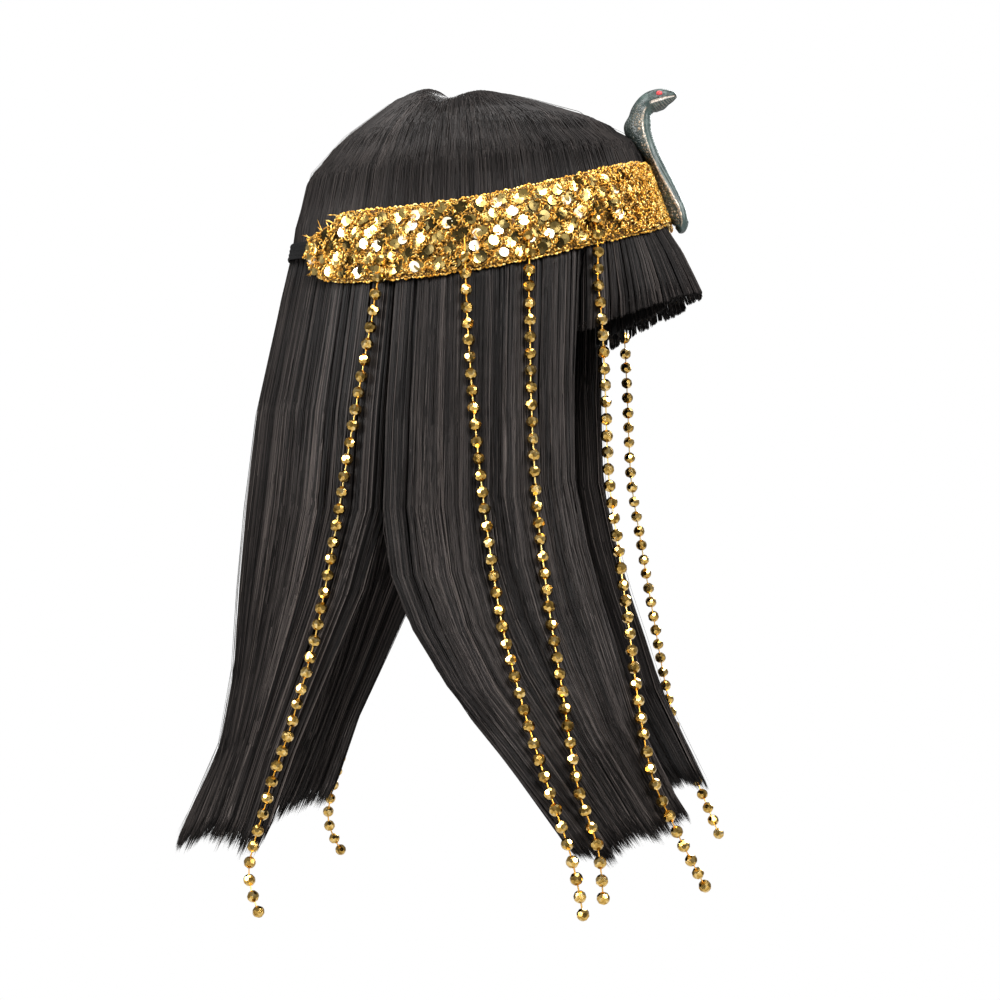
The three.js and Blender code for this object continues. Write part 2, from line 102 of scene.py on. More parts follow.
class Dye:
    """A value or colour on its way into a finish. Sums on it add Math nodes to that finish."""

    def __init__(self, tree, socket=None):
        self.tree = tree
        self.socket = socket

    def add(self, kind, settings=None, sockets=None, out=0):
        """A node of this kind, with its settings made first and its sockets filled or linked."""
        node = self.tree.nodes.new("ShaderNode" + kind)
        for name, value in (settings or {}).items():
            if name == "stops":
                while len(node.color_ramp.elements) < len(value):
                    node.color_ramp.elements.new(1)
                for element, (place, colour) in zip(node.color_ramp.elements, value):
                    element.position = place
                    element.color = (*colour, 1)
            else:
                setattr(node, name, value)
        for name, value in (sockets or {}).items():
            if isinstance(value, Dye):
                self.tree.links.new(value.socket, node.inputs[name])
            else:
                node.inputs[name].default_value = value
        return Dye(self.tree, node.outputs[out] if node.outputs else None)

    def sum(self, operation, first, second=0.0):
        return self.add("Math", {"operation": operation}, {0: first, 1: second})

    def __add__(self, other):
        return self.sum("ADD", self, other)

    def __radd__(self, other):
        return self.sum("ADD", other, self)

    def __sub__(self, other):
        return self.sum("SUBTRACT", self, other)

    def __rsub__(self, other):
        return self.sum("SUBTRACT", other, self)

    def __mul__(self, other):
        return self.sum("MULTIPLY", self, other)

    def __rmul__(self, other):
        return self.sum("MULTIPLY", other, self)

    def between(self, low, high):
        """0 below low, 1 above high, and smooth from one to the other."""
        sockets = {"Value": self, "From Min": low, "From Max": high}
        return self.add("MapRange", {"interpolation_type": "SMOOTHSTEP"}, sockets)

    def blend(self, first, second):
        """From the first colour at 0 to the second at 1."""
        first, second = ((*c, 1) if isinstance(c, tuple) else c for c in (first, second))
        return self.add("Mix", {"data_type": "RGBA"}, {0: self, 6: first, 7: second}, out=2)

    def through(self, *stops):
        """The colour that the value finds among stops, each a place and a colour."""
        return self.add("ValToRGB", {"stops": stops}, {0: self})

    def part(self, which):
        return self.add("SeparateXYZ", {}, {0: self}, out=which)

    def noise(self, scale, detail=2.0):
        return self.add("TexNoise", {}, {"Vector": self, "Scale": scale, "Detail": detail})

    def relief(self, strength, depth):
        """A surface that the value raises, by that many mm at most."""
        return self.add("Bump", {}, {"Strength": strength, "Distance": depth * MM, "Height": self})


def new_finish(name):
    material = bpy.data.materials.new(name)
    material.use_nodes = True
    material.node_tree.nodes.clear()
    return material, Dye(material.node_tree)


def seal(dye, **sockets):
    """Ends a finish with its shader. Sockets are named as on the shader, with _ for a space."""
    named = {name.replace("_", " "): value for name, value in sockets.items()}
    shader = dye.add("BsdfPrincipled", {}, named)
    dye.add("OutputMaterial", {}, {"Surface": shader})


net, dye = new_finish("black_cap_net")
place = dye.add("TexCoord", out=3)
net_cells = {"Vector": place, "Scale": NET["meshes"]}
yarn = 1 - dye.add("TexVoronoi", {"feature": "DISTANCE_TO_EDGE"}, net_cells).between(0.05, 0.16)
weft_row = dye.sum("SINE", place.part(2) * NET["rows"]).between(0.6, 0.95)
knit = dye.sum("MAXIMUM", yarn, weft_row)
yarn_black = knit.blend((0.002, 0.002, 0.002), (0.013, 0.012, 0.012))
seal(dye, Base_Color=yarn_black, Roughness=0.85, Normal=knit.relief(0.6, NET["relief"]))

cap = cast_of("cap", "net_cap")
open_mesh(cap)
bpy.ops.mesh.tris_convert_to_quads()
close_mesh()
shaped(cap, "SUBSURF", levels=1, render_levels=1)
cap.data.materials.append(net)
fix_on(cap, "cap")

# The crown hair: straight synthetic fibre that springs from the whorl on top and runs down all round,
# to be caught under the headband. It is laid here fibre by fibre over an underlayer kept dark as painted
# shade.

BAND_LINE = {"middle": -60.4, "front_rise": 13.5, "side_droop": 7.4}
HAIR_AT_BAND = (97.0, 90.0, 104.0)
WHORL = {"y": 12.6, "top": 24.6, "dip": 6.2, "dip_length": 9.0, "dip_width": 44.0}
CROWN_RINGS = [
    # reach, and the share of its drop in front, at the side and behind
    (0, 0, 0, 0),
    (0.08, 0.008, 0.007, -0.011),
    (0.16, 0.027, 0.02, -0.011),
    (0.27, 0.07, 0.043, 0.016),
    (0.39, 0.132, 0.085, 0.088),
    (0.52, 0.2, 0.152, 0.194),
    (0.65, 0.273, 0.246, 0.294),
    (0.77, 0.365, 0.364, 0.402),
    (0.87, 0.515, 0.498, 0.525),
    (0.94, 0.73, 0.654, 0.655),
    (1, 1, 1, 1),
]
FALL = [
    # drop, the reach in front, at the side, behind the ear and at the back, and the wall
    (0, 97, 90, 90, 104, 12),
    (20, 98.5, 91, 91, 108.5, 12),
    (45, 98.5, 95, 95, 116, 13),
    (85, 97, 98.5, 99, 123, 14),
    (135, 99.5, 104, 103, 129, 14),
    (190, 111, 114, 107, 134, 14),
    (240, 125, 128, 110, 137.5, 13),
    (285, 134, 146, 113, 149, 11),
    (325, 142, 160, 116, 170, 6),
    (360, 146, 167, 118, 178, 5),
]
REAR_TURNS = (75, 115)
HEAD_MIDDLE = -70.0
TONE_ENDS = (0.03, 0.97)
CROWN = {"fibres": 4400, "strands": 300, "sway": 1.4, "caught": 0.93, "tuck": (3, 12), "tone": 0.48}
COBRA_SEAT = {"turn": 9, "reach": 0.88, "length": 0.09, "lift": 3.4}
STRAY = {"share": 0.02, "radius": 0.1, "lift": (0.3, 1.5)}


def ease(value, low, high):
    share = np.clip((value - low) / (high - low), 0, 1)
    return share * share * (3 - 2 * share)


def look_up(table, column, at):
    """A column at a place along the table's first column, on a curve that never overshoots its rows."""
    rows = np.asarray(table, float)
    key, value = rows[:, 0], rows[:, column]
    rise = np.diff(value) / np.diff(key)
    before = np.concatenate([rise[:1], rise])
    after = np.concatenate([rise, rise[-1:]])
    agrees = before * after > 0
    slope = np.where(agrees, 2 * before * after / np.where(agrees, before + after, 1), 0)
    low = np.clip(np.searchsorted(key, at, side="right") - 1, 0, len(key) - 2)
    span = key[low + 1] - key[low]
    t = np.clip((at - key[low]) / span, 0, 1)
    return (
        value[low] * (2 * t**3 - 3 * t**2 + 1)
        + slope[low] * span * (t**3 - 2 * t**2 + t)
        + value[low + 1] * (3 * t**2 - 2 * t**3)
        + slope[low + 1] * span * (t**3 - t**2)
    )


def oval(front, side, back, turn, z):
    """Points on an oval round the head's axis. Turn is in degrees from the forehead to the left ear."""
    along = np.cos(np.radians(turn))
    x = side * np.sin(np.radians(turn))
    return np.stack(np.broadcast_arrays(x, -along * np.where(along > 0, front, back), z), axis=-1)


def band_height(turn):
    angle = np.radians(turn)
    droop = BAND_LINE["side_droop"] * np.cos(2 * angle)
    return BAND_LINE["middle"] + BAND_LINE["front_rise"] * np.cos(angle) + droop


def crown(turn, reach):
    """The hair's outside above the band line, from 0 at the whorl to 1 at the line."""
    turn, reach = np.broadcast_arrays(turn, reach)
    along = np.cos(np.radians(turn))
    end = np.where(along > 0, look_up(CROWN_RINGS, 1, reach), look_up(CROWN_RINGS, 3, reach))
    side = look_up(CROWN_RINGS, 2, reach)
    share = side + (end - side) * along**2
    edge = oval(*HAIR_AT_BAND, turn, band_height(turn))
    point = np.array([0, WHORL["y"], WHORL["top"]]) * (1 - reach[..., None]) + edge * reach[..., None]
    aside, behind = point[..., 0], point[..., 1] - WHORL["y"]
    away = (behind / WHORL["dip_length"]) ** 2 + (aside / WHORL["dip_width"]) ** 2
    point[..., 2] = WHORL["top"] + (edge[..., 2] - WHORL["top"]) * share - WHORL["dip"] * np.exp(-away)
    return point


def fall_reaches(turn, drop):
    rear = ease(np.abs(turn), *REAR_TURNS)
    side = look_up(FALL, 2, drop) * (1 - rear) + look_up(FALL, 3, drop) * rear
    return look_up(FALL, 1, drop), side, look_up(FALL, 4, drop)


def unit(ways):
    return ways / np.linalg.norm(ways, axis=-1, keepdims=True)


def outwards(surface, turn, along, step):
    """The direction out of a surface of two values, from small steps on it."""
    across = surface(turn + 0.5, along) - surface(turn - 0.5, along)
    down = surface(turn, along + step) - surface(turn, along - step)
    normal = unit(np.cross(across, down))
    from_middle = surface(turn, along)
    from_middle[..., 2] = np.maximum(from_middle[..., 2] - HEAD_MIDDLE, 0)
    inward = (normal * from_middle).sum(axis=-1, keepdims=True) < 0
    return np.where(inward, -normal, normal)


def wave(cycles):
    return np.sin(2 * np.pi * cycles)


def laid(name, corners, faces, tones, along, play, finish):
    """One piece of many shapes alike, from corners [shape, corner, xyz] in mm and one shape's faces.
    Its chart holds each shape's tone and how far along the shape a corner is."""
    count, each = corners.shape[:2]
    every = (faces[None] + each * np.arange(count)[:, None, None]).reshape(-1, 3)
    mesh = bpy.data.meshes.new(name)
    mesh.from_pydata((corners.reshape(-1, 3) * MM).tolist(), [], every.tolist())
    mesh.shade_smooth()
    values = np.empty((count, each, 2))
    values[..., 0] = tones[:, None] + play * np.cos(np.arange(each))
    values[..., 1] = along
    chart = mesh.uv_layers.new(name="OFBake")
    chart.data.foreach_set("uv", values.reshape(-1, 2)[every.ravel()].ravel())
    mesh.materials.append(finish)
    return set_out(name, mesh)


def spun(name, paths, radius, tones, outward, finish, corners=3):
    """Fibres [fibre, point, xyz] as thin tubes that are pointed at both ends, in one piece."""
    count, points = paths.shape[:2]
    along = unit(np.gradient(paths, axis=1))
    side = unit(np.cross(along, outward))
    up = np.cross(side, along)
    angle = np.radians(90) + 2 * np.pi * np.arange(corners) / corners
    around = np.cos(angle)[:, None] * side[:, :, None] + np.sin(angle)[:, None] * up[:, :, None]
    rings = paths[:, 1:-1, None] + (np.reshape(radius, (-1, 1, 1, 1)) * around)[:, 1:-1]
    verts = np.concatenate([paths[:, :1], rings.reshape(count, -1, 3), paths[:, -1:]], axis=1)
    k = np.arange(corners)
    after = (k + 1) % corners
    low = 1 + corners * np.arange(points - 3)[:, None]
    high = low + corners
    last = verts.shape[1] - 1
    root = np.stack([0 * k, 1 + k, 1 + after], axis=1)
    near_half = np.stack([low + k, high + k, high + after], axis=2).reshape(-1, 3)
    far_half = np.stack([low + k, high + after, low + after], axis=2).reshape(-1, 3)
    tip = np.stack([last + 0 * k, last - corners + after, last - corners + k], axis=1)
    faces = np.concatenate([root, near_half, far_half, tip])
    length = np.linspace(0.02, 0.98, points)
    down = np.concatenate([length[:1], np.repeat(length[1:-1], corners), length[-1:]])
    return laid(name, verts, faces, tones, down, 0.003, finish)


def join(piece, other):
    pick_up(piece)
    other.select_set(True)
    bpy.ops.object.join()


def finish_hair(node, fibres, depth=1.8, cut_above=None, slope=0.0):
    """Joins fibres to the hair under them, kept dark as painted shade: the solid drawn in all over, and cut
    off above the tips.
    The cut falls with that slope from the front backwards."""
    layer = cast_of(node, node + "_underlayer")
    open_mesh(layer)
    bpy.ops.transform.shrink_fatten(value=-depth * MM)
    if cut_above:
        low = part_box(node)[0]
        cut = (0, low[1], low[2] + cut_above * MM)
        bpy.ops.mesh.bisect(plane_co=cut, plane_no=(0, slope, 1), use_fill=True, clear_inner=True)
    close_mesh()
    bpy.ops.object.shade_smooth()
    # The underlayer gets a dark tone: painted shade deep in the hair.
    chart = layer.data.uv_layers.new(name="OFBake")
    for loop in layer.data.loops:
        spot = layer.data.vertices[loop.vertex_index].co
        chart.data[loop.index].uv = (0.1 + 0.2 * (spot.x + 0.2) * 0.1, 0.5 - spot.z)
    layer.data.materials.append(hair_fibre)
    join(layer, fibres)
    layer.name = node + "_fibres"
    fix_on(layer, node)


def chart_values(dye, chart="OFBake"):
    """The two values of a piece's own chart, across and along."""
    spot = dye.add("UVMap", {"uv_map": chart})
    return spot.part(0), spot.part(1)


hair_fibre, dye = new_finish("straight_black_fibre")
tone, to_tip = chart_values(dye)
shimmer = 0.07 * dye.sum("SINE", to_tip * 11.0 + tone * 50.0)
# Painted shade: the fibre is darker near its roots, under the band and round the whorl.
painted_root_shade = 0.1 * (1 - to_tip.between(0.02, 0.36))
brown_black_with_painted_shade = (tone + shimmer - painted_root_shade).through(
    (0.0, (0.003, 0.0026, 0.0025)),
    (0.3, (0.0065, 0.0054, 0.0051)),
    (0.5, (0.0135, 0.0113, 0.0106)),
    (0.75, (0.042, 0.035, 0.0322)),
    (1.0, (0.105, 0.088, 0.08)),
)
seal(dye, Base_Color=brown_black_with_painted_shade, Roughness=0.4 + 0.08 * to_tip, Specular_IOR_Level=0.11)

rng = np.random.default_rng(11)
count = CROWN["fibres"]
lengths = np.array([0, 0.05, 0.22, 0.42, 0.62, 0.8, 0.95, 1.0])
strand = rng.integers(0, CROWN["strands"], count)
turn = (strand + rng.normal(0.5, 0.8, count)) * 360 / CROWN["strands"] - 180
starts = 0.015 + 0.34 * rng.random((count, 1)) ** 2
run = starts + (1 - starts) * np.sin(np.clip(lengths / CROWN["caught"], 0, 1) * np.pi / 2)
cycles = lengths * rng.uniform(0.4, 1.1, (count, 1)) + rng.random((count, 1))
turns = turn[:, None] + CROWN["sway"] * wave(cycles) * (1.2 - run)
tuck = ease(lengths, CROWN["caught"], 1.0) * rng.uniform(*CROWN["tuck"], (count, 1))
out = outwards(crown, turns, np.minimum(run, 0.985), 0.012)
inset = 0.1 + 0.7 * rng.random((count, 1)) ** 2
rooted = 1.3 * np.exp(-(run - starts) / 0.1)
points = crown(turns, run) - out * (inset + rooted)[..., None]
points[..., 2] -= tuck
from_seat = (turns / COBRA_SEAT["turn"]) ** 2 + ((run - COBRA_SEAT["reach"]) / COBRA_SEAT["length"]) ** 2
points += out * (COBRA_SEAT["lift"] * np.exp(-from_seat))[..., None]
stray = rng.random((count, 1)) < STRAY["share"]
risen = stray * rng.uniform(*STRAY["lift"], (count, 1)) * np.sin(np.pi * lengths) ** 2
points += out * risen[..., None]
radius = np.where(stray, STRAY["radius"], rng.uniform(0.2, 0.3, (count, 1)))
tones = CROWN["tone"] + rng.normal(0, 0.06, CROWN["strands"])[strand]
tones = np.clip(tones + rng.normal(0, 0.05, count), *TONE_ENDS)
finish_hair("crown_hair", spun("crown_fibres", points, radius, tones, out, hair_fibre))

# The fringe: fibre that comes out below the band across the brow, flares forward and is cut straight.
# It is cut a little longer towards the temples.

FRINGE_FLARE = [(0, 0), (15, 4.5), (22, 9.5), (35, 16), (52, 24), (70, 28)]
FRINGE_FADE = (12, 54)
FRINGE_EDGE = 48.1
FRINGE_CUT = (51, 64)
CAP_REACH = {"front": 88, "side": 77, "back": 94, "lean": 0.35, "clear_drop": 24, "over": 0.8}
FURROW = {"start": 24, "full": 150, "depth": 2.4}
STRANDS = 30
OUTER_STRANDS = 0.62
LINING_FROM = 0.8
PARTED_AFTER = 110
LOOSE_STRAY = {"share": 0.015, "lift": (0.3, 2.2)}


def fringe_flare(turn, drop):
    return (1 - ease(np.abs(turn), *FRINGE_FADE)) * look_up(FRINGE_FLARE, 1, drop)


def hung(
    node, turn_at, cut_at, *,
    count, lengths, locks, seed, tip_play, gathering, parts, tone_with_painted_light, flare=None,
):
    """Hanging fibre in locks of many strands each, over loose filling fibre. Across runs from 0 to 1, and
    drop in mm from the band line. Parts gives the drops at which its first and last edge part from the
    hair beside them. The middle of its tones is the fibre's own colour, set darker or lighter piece by
    piece as painted shade and painted light."""
    rng = np.random.default_rng(seed)
    strands = STRANDS * locks
    edges = np.concatenate([[0], (np.arange(1, locks) + rng.normal(0, 0.15, locks - 1)) / locks, [1]])
    strand = rng.integers(0, strands, count)
    strand_middle = np.clip((np.arange(strands) + rng.normal(0.5, 0.4, strands)) / strands, 0, 1)[strand]
    across = np.clip(strand_middle + rng.normal(0, 0.6, count) / strands, -0.01, 1.01)
    layer = rng.random(strands)[strand]
    share = np.where(layer < OUTER_STRANDS, 0, rng.random(count))
    share = np.where(layer > LINING_FROM, 0.94 + 0.06 * rng.random(count), share)
    filling = share > 0
    across = np.where(filling, rng.random(count), across)
    at = np.where(filling, across, strand_middle)
    lock = np.clip(np.searchsorted(edges, at, side="right") - 1, 0, locks - 1)
    middle = ((edges[1:] + edges[:-1]) / 2)[lock]
    off = (across - middle) / (np.diff(edges) / 2)[lock]

    def by_lock(low, high):
        return rng.uniform(low, high, locks)[lock][:, None]

    def by_strand(low, high):
        return rng.uniform(low, high, strands)[strand][:, None]

    short = (rng.random(count) < 0.08) * rng.uniform(0.02, 0.14, count)
    play = tip_play * (rng.normal(0, 0.5, locks)[lock] + rng.normal(0, 0.35, strands)[strand])
    ragged = tip_play * (0.35 * np.abs(rng.normal(0, 1, count)) + 0.6 * np.clip(np.abs(off), 0, 1) ** 3)
    tips = cut_at(across) * (1 - short) + play - ragged
    roots = rng.uniform(0.5, 3, count)
    drop = roots[:, None] + (tips - roots)[:, None] * lengths

    down = drop / tips.max()
    gather = gathering * ease(down, 0.35, 1.0) * by_lock(0.3, 1.4)
    pinch = 0.15 * ease(down, 0.3, 1.0) * by_strand(0.3, 1.4) * ~filling[:, None]
    spot = across[:, None] + (middle - across)[:, None] * gather
    spot = spot + (strand_middle - across)[:, None] * pinch
    bend = rng.normal(0, 1, (locks, 2))[lock]
    swing = wave(down * by_lock(0.5, 1.1) + bend[:, :1])
    lean = rng.normal(0, 1, (strands, 2))[strand]
    sway = wave(down * by_strand(0.6, 1.6) + lean[:, :1])
    loose = wave(down * rng.uniform(0.5, 2.2, (count, 1)) + rng.random((count, 1)))
    free = ease(drop, 20, 120) * np.clip(6 * np.minimum(spot, 1 - spot), 0, 1)
    turns = turn_at(spot, drop)
    turns = turns + free * (0.15 * bend[:, 1:] * swing + 0.35 * lean[:, 1:] * sway + 0.6 * loose)

    furrowed = ease(drop, FURROW["start"], FURROW["full"])
    rim = np.clip(1 - 2 * locks * spot, 0, 1) * ease(drop, parts[0], parts[0] + PARTED_AFTER)
    rim = rim + np.clip(1 - 2 * locks * (1 - spot), 0, 1) * ease(drop, parts[1], parts[1] + PARTED_AFTER)
    wall = look_up(FALL, 5, drop)
    under = by_strand(0.1, 0.6) * (1 + wave(down * by_strand(0.5, 1.5) + 2.3 * lean[:, :1]))
    outside = 0.5 * FURROW["depth"] * np.abs(off[:, None]) ** 2.4 * furrowed + 0.3 * rim * wall
    outside = outside + under * (0.3 + 0.7 * furrowed) * ~filling[:, None]
    inset = outside + share[:, None] * wall * (1 - 0.6 * rim) + 0.35 * rng.random((count, 1))
    stray = rng.random((count, 1)) < LOOSE_STRAY["share"]
    inset = inset - stray * ease(drop, 30, 140) * rng.uniform(*LOOSE_STRAY["lift"], (count, 1))
    front, side, back = fall_reaches(turns, drop)
    front = front + flare(turns, drop) if flare else front
    cap_front = np.where(drop < CAP_REACH["clear_drop"], CAP_REACH["front"] + CAP_REACH["lean"] * drop, 0)
    points = oval(
        np.maximum(front - inset, cap_front + CAP_REACH["over"]),
        np.maximum(side - inset, CAP_REACH["side"] + CAP_REACH["over"]),
        np.maximum(back - inset, CAP_REACH["back"] + CAP_REACH["over"]),
        turns,
        band_height(turn_at(across[:, None], np.zeros_like(drop))) - drop,
    )
    radius = rng.uniform(0.15, 0.26, (count, 1)) * (1 + 0.6 * filling[:, None])
    radius = np.where(stray, STRAY["radius"], radius)
    tones = tone_with_painted_light + rng.normal(0, 0.05, locks)[lock] + rng.normal(0, 0.13, strands)[strand]
    tones = np.clip(tones + rng.normal(0, 0.16, count), *TONE_ENDS)
    return spun(node + "_fibres", points, radius, tones, unit(points * [1, 1, 0]), hair_fibre)


def bowed(middle, edges):
    """A cut line with these drops in its middle and at its edges."""
    return lambda across: middle + (edges - middle) * (2 * across - 1) ** 2


# The fringe's tone is set darker, as painted shade.
fringe_fibres = hung(
    "fringe", lambda across, drop: FRINGE_EDGE * (2 * across - 1) + 0 * drop, bowed(*FRINGE_CUT),
    count=2900, lengths=[0, 0.06, 0.3, 0.55, 0.8, 0.98, 1.0], locks=11, seed=21,
    tip_play=0.9, gathering=0.04, parts=(400, 400), tone_with_painted_light=0.37, flare=fringe_flare,
)
finish_hair("fringe", fringe_fibres, depth=1.6, cut_above=40, slope=0.57)

# The side hair: two falls of fibre, one on each side, from the temples to behind the ears.
# They swing forward as they fall, and end in a blunt cut with thin, uneven tips.

PARTING = [
    # drop, and the turns of the side hair's front and rear edges and of the back hair's edge
    (0, 50, 107, 107),
    (145, 50, 106.5, 107.5),
    (180, 47.5, 102.5, 113),
    (210, 45.5, 95, 119),
    (235, 43.5, 86.5, 125),
    (255, 42, 77.5, 128.5),
    (280, 38.5, 68.5, 131),
    (303, 31, 61.5, 130.6),
    (325, 25, 56, 130),
]
SIDE_CUT = (312, 308)
EDGE_GAP = 0.4


def side_turn(side):
    def turn_at(across, drop):
        front = look_up(PARTING, 1, drop)
        return side * (front + (look_up(PARTING, 2, drop) - EDGE_GAP - front) * across)

    return turn_at


for hand, side, seed in (("left", 1, 31), ("right", -1, 37)):
    node = f"side_hair_{hand}"
    # The side hair's tone is set a little darker, as painted shade under the band.
    fibres = hung(
        node, side_turn(side), lambda across: SIDE_CUT[0] + (SIDE_CUT[1] - SIDE_CUT[0]) * across,
        count=3000, lengths=[0, 0.07, 0.28, 0.44, 0.55, 0.64, 0.73, 0.83, 0.96, 1.0], locks=9, seed=seed,
        tip_play=3.0, gathering=0.04, parts=(24, 140), tone_with_painted_light=0.45,
    )
    finish_hair(node, fibres, cut_above=50)

# The back hair: the longest fall, that hangs from behind one ear round to the other.
# It is cut blunt and parts into a few clumps at the tips.

BACK_CUT = (321, 313)


def back_turn(across, drop):
    edge = look_up(PARTING, 3, drop) + EDGE_GAP
    return edge + (360 - 2 * edge) * across


# The back hair's tone is set lighter, as painted light.
back_fibres = hung(
    "back_hair", back_turn, bowed(*BACK_CUT),
    count=4400, lengths=[0, 0.07, 0.27, 0.43, 0.57, 0.71, 0.84, 0.96, 1.0], locks=18, seed=41,
    tip_play=4.5, gathering=0.05, parts=(140, 140), tone_with_painted_light=0.51,
)
finish_hair("back_hair", back_fibres, cut_above=66)

# The headband: a strip of gold-brown stretch cloth that goes over the hair from ear to ear, with
# tapered ends. Sequins and metallic thread are sewn all over its outside.

BAND_EDGES = [
    # turn, and how far the edges lie above the band line and below it
    (0, 17.6, 12.5),
    (10, 18, 14.6),
    (25, 18.2, 17.6),
    (40, 18.2, 18.2),
    (122, 18.2, 18.2),
    (126.5, 17.4, 17.6),
    (130, 12.8, 16.6),
    (134, 10, 14.4),
    (138, 7.4, 11.6),
    (142, 5, 5),
]
BAND_WALL = 2.0
BAND_END = 142.0
STRAP_LIFT = 0.6
BAND_FACE = STRAP_LIFT + BAND_WALL


def begin(name, primitive, **sizes):
    """A new piece from one primitive, with nothing else selected."""
    bpy.ops.object.select_all(action="DESELECT")
    primitive(**sizes)
    piece = bpy.context.object
    piece.name = name
    return piece


def corners_of(piece):
    return np.array([corner.co[:] for corner in piece.data.vertices])


def set_corners(piece, points):
    """Moves a piece's corners to points in mm."""
    piece.data.vertices.foreach_set("co", (points * MM).ravel())


def under_band(turn, rise):
    """The hair under the band, that far above the band line or below it."""
    turn, rise = np.broadcast_arrays(turn, rise)
    low, high = np.full(turn.shape, 0.5), np.ones(turn.shape)
    for _ in range(26):
        reach = (low + high) / 2
        too_high = crown(turn, reach)[..., 2] > band_height(turn) + rise
        low, high = np.where(too_high, reach, low), np.where(too_high, high, reach)
    drop = np.maximum(-rise, 0)
    front, side, back = fall_reaches(turn, drop)
    below = oval(front + fringe_flare(turn, drop), side, back, turn, band_height(turn) - drop)
    return np.where((rise >= 0)[..., None], crown(turn, low), below)


def on_band(turn, rise, lift):
    """A place on the band: up from its middle line, and out from the hair. Also the way out there."""
    turn, rise = np.broadcast_arrays(turn, rise)
    out = outwards(under_band, turn, rise, 0.5)
    return under_band(turn, rise) + out * np.asarray(lift)[..., None], out


def band_edge(turn, side):
    """How far the band's edge is from its line, above it where side is over 0 and below it elsewhere."""
    above, below = (look_up(BAND_EDGES, column, np.abs(turn)) for column in (1, 2))
    return np.where(np.asarray(side) > 0, above, below)


band_cloth, dye = new_finish("gold_brown_cloth")
place = dye.add("TexCoord", out=3)
grain = dye.add("TexVoronoi", {}, {"Vector": place, "Scale": 820.0})
loops = 1 - grain.between(0.1, 0.75)
# Painted shade: gold on the thread loops, dark brown in the gaps between them.
cloth_gold_with_painted_gap_shade = loops.blend((0.045, 0.018, 0.003), (0.72, 0.4, 0.08))
seal(dye, Base_Color=cloth_gold_with_painted_gap_shade, Roughness=0.34, Metallic=0.75, Normal=loops.relief(1.0, 0.9))

band = begin("headband_cloth", bpy.ops.mesh.primitive_grid_add, x_subdivisions=150, y_subdivisions=8, size=2)
flat = corners_of(band)
turns = flat[:, 0] * BAND_END
strip, _ = on_band(turns, flat[:, 1] * band_edge(turns, flat[:, 1]), STRAP_LIFT)
set_corners(band, strip)
shaped(band, "SOLIDIFY", thickness=BAND_WALL * MM, offset=1)
bpy.ops.object.shade_smooth_by_angle(angle=np.radians(50))
band.data.materials.append(band_cloth)
fix_on(band, "headband")

# The sequins: thin gilt cups with a hole in the middle, each sewn on by its own thread.
# They overlap in slanting rows, lie at all angles, and thin out towards the cobra.

SEQUIN = {"radius": 2.9, "hole": 0.45, "cup": 0.16, "leaf": 0.14, "sides": 12, "lift": 0.65, "pile": 0.4}
DIAMOND = {"long": 10.8, "half_high": 6.75}
SEQUIN_PAIR = ((-1.7, -0.9), (1.6, 0.9))
THREADED_TURN = (20.0, 48.0)
FLASHING = {"turn": 78, "spread": 26}

gilt, dye = new_finish("gilt_sequin")
tone = dye.add("UVMap", {"uv_map": "OFBake"}).part(0)
# Painted reflections: the lowest tones are dark reflections, and the top tones near-white, less metallic
# painted flashes.
leaf_gold_with_painted_reflections = tone.through(
    (0.0, (0.035, 0.028, 0.012)),
    (0.2, (0.12, 0.085, 0.028)),
    (0.4, (0.4, 0.28, 0.08)),
    (0.65, (0.78, 0.57, 0.2)),
    (0.85, (1.0, 0.88, 0.6)),
    (1.0, (1.0, 0.95, 0.8)),
)
seal(dye, Base_Color=leaf_gold_with_painted_reflections, Metallic=1.0 - 0.6 * tone.between(0.75, 0.9), Roughness=0.27 - 0.06 * tone)

sequin = begin(
    "sequin", bpy.ops.mesh.primitive_circle_add,
    vertices=SEQUIN["sides"], radius=SEQUIN["radius"] * MM, fill_type="NGON",
)
open_mesh(sequin)
bpy.ops.mesh.inset(thickness=(SEQUIN["radius"] - SEQUIN["hole"]) * MM)
bpy.ops.mesh.delete(type="ONLY_FACE")
close_mesh()
for corner in sequin.data.vertices:
    corner.co.z = SEQUIN["cup"] * MM * (corner.co.xy.length / (SEQUIN["radius"] * MM)) ** 2
shaped(sequin, "SOLIDIFY", thickness=SEQUIN["leaf"] * MM)


def copies(name, pattern, spots, across, out, tones, sizes, finish):
    """Copies of a small pattern in one piece: where each is, its across and out ways, tone and size."""
    shape = corners_of(pattern) / MM
    pattern.data.calc_loop_triangles()
    faces = np.array([face.vertices[:] for face in pattern.data.loop_triangles])
    ways = np.stack([across, np.cross(out, across), out], axis=1)
    verts = spots[:, None] + np.einsum("vk,nkx->nvx", shape, ways) * sizes[:, None, None]
    # A value that changes from corner to corner; the bead finish paints reflections on the facets from it.
    varied = 0.5 + 0.4 * np.sin(2.4 * np.arange(len(shape)))
    piece = laid(name, verts, faces, tones, varied, 0.004, finish)
    piece.data.shade_flat()
    return piece


def square_to(way, other):
    """A way turned until it is square to the other."""
    return unit(way - other * (way * other).sum(axis=1, keepdims=True))


def lengths_along(points):
    """How far each point is along the line that they make."""
    return np.concatenate([[0], np.cumsum(np.linalg.norm(np.diff(points, axis=0), axis=1))])


line_turns = np.linspace(-BAND_END, BAND_END, 400)
middle_line, _ = on_band(line_turns, 0, BAND_FACE)
walked = lengths_along(middle_line)
band_length = walked[-1]


def turn_after(distance):
    """The turn that many mm along the band's middle line from its right end."""
    return np.interp(distance, walked, line_turns)


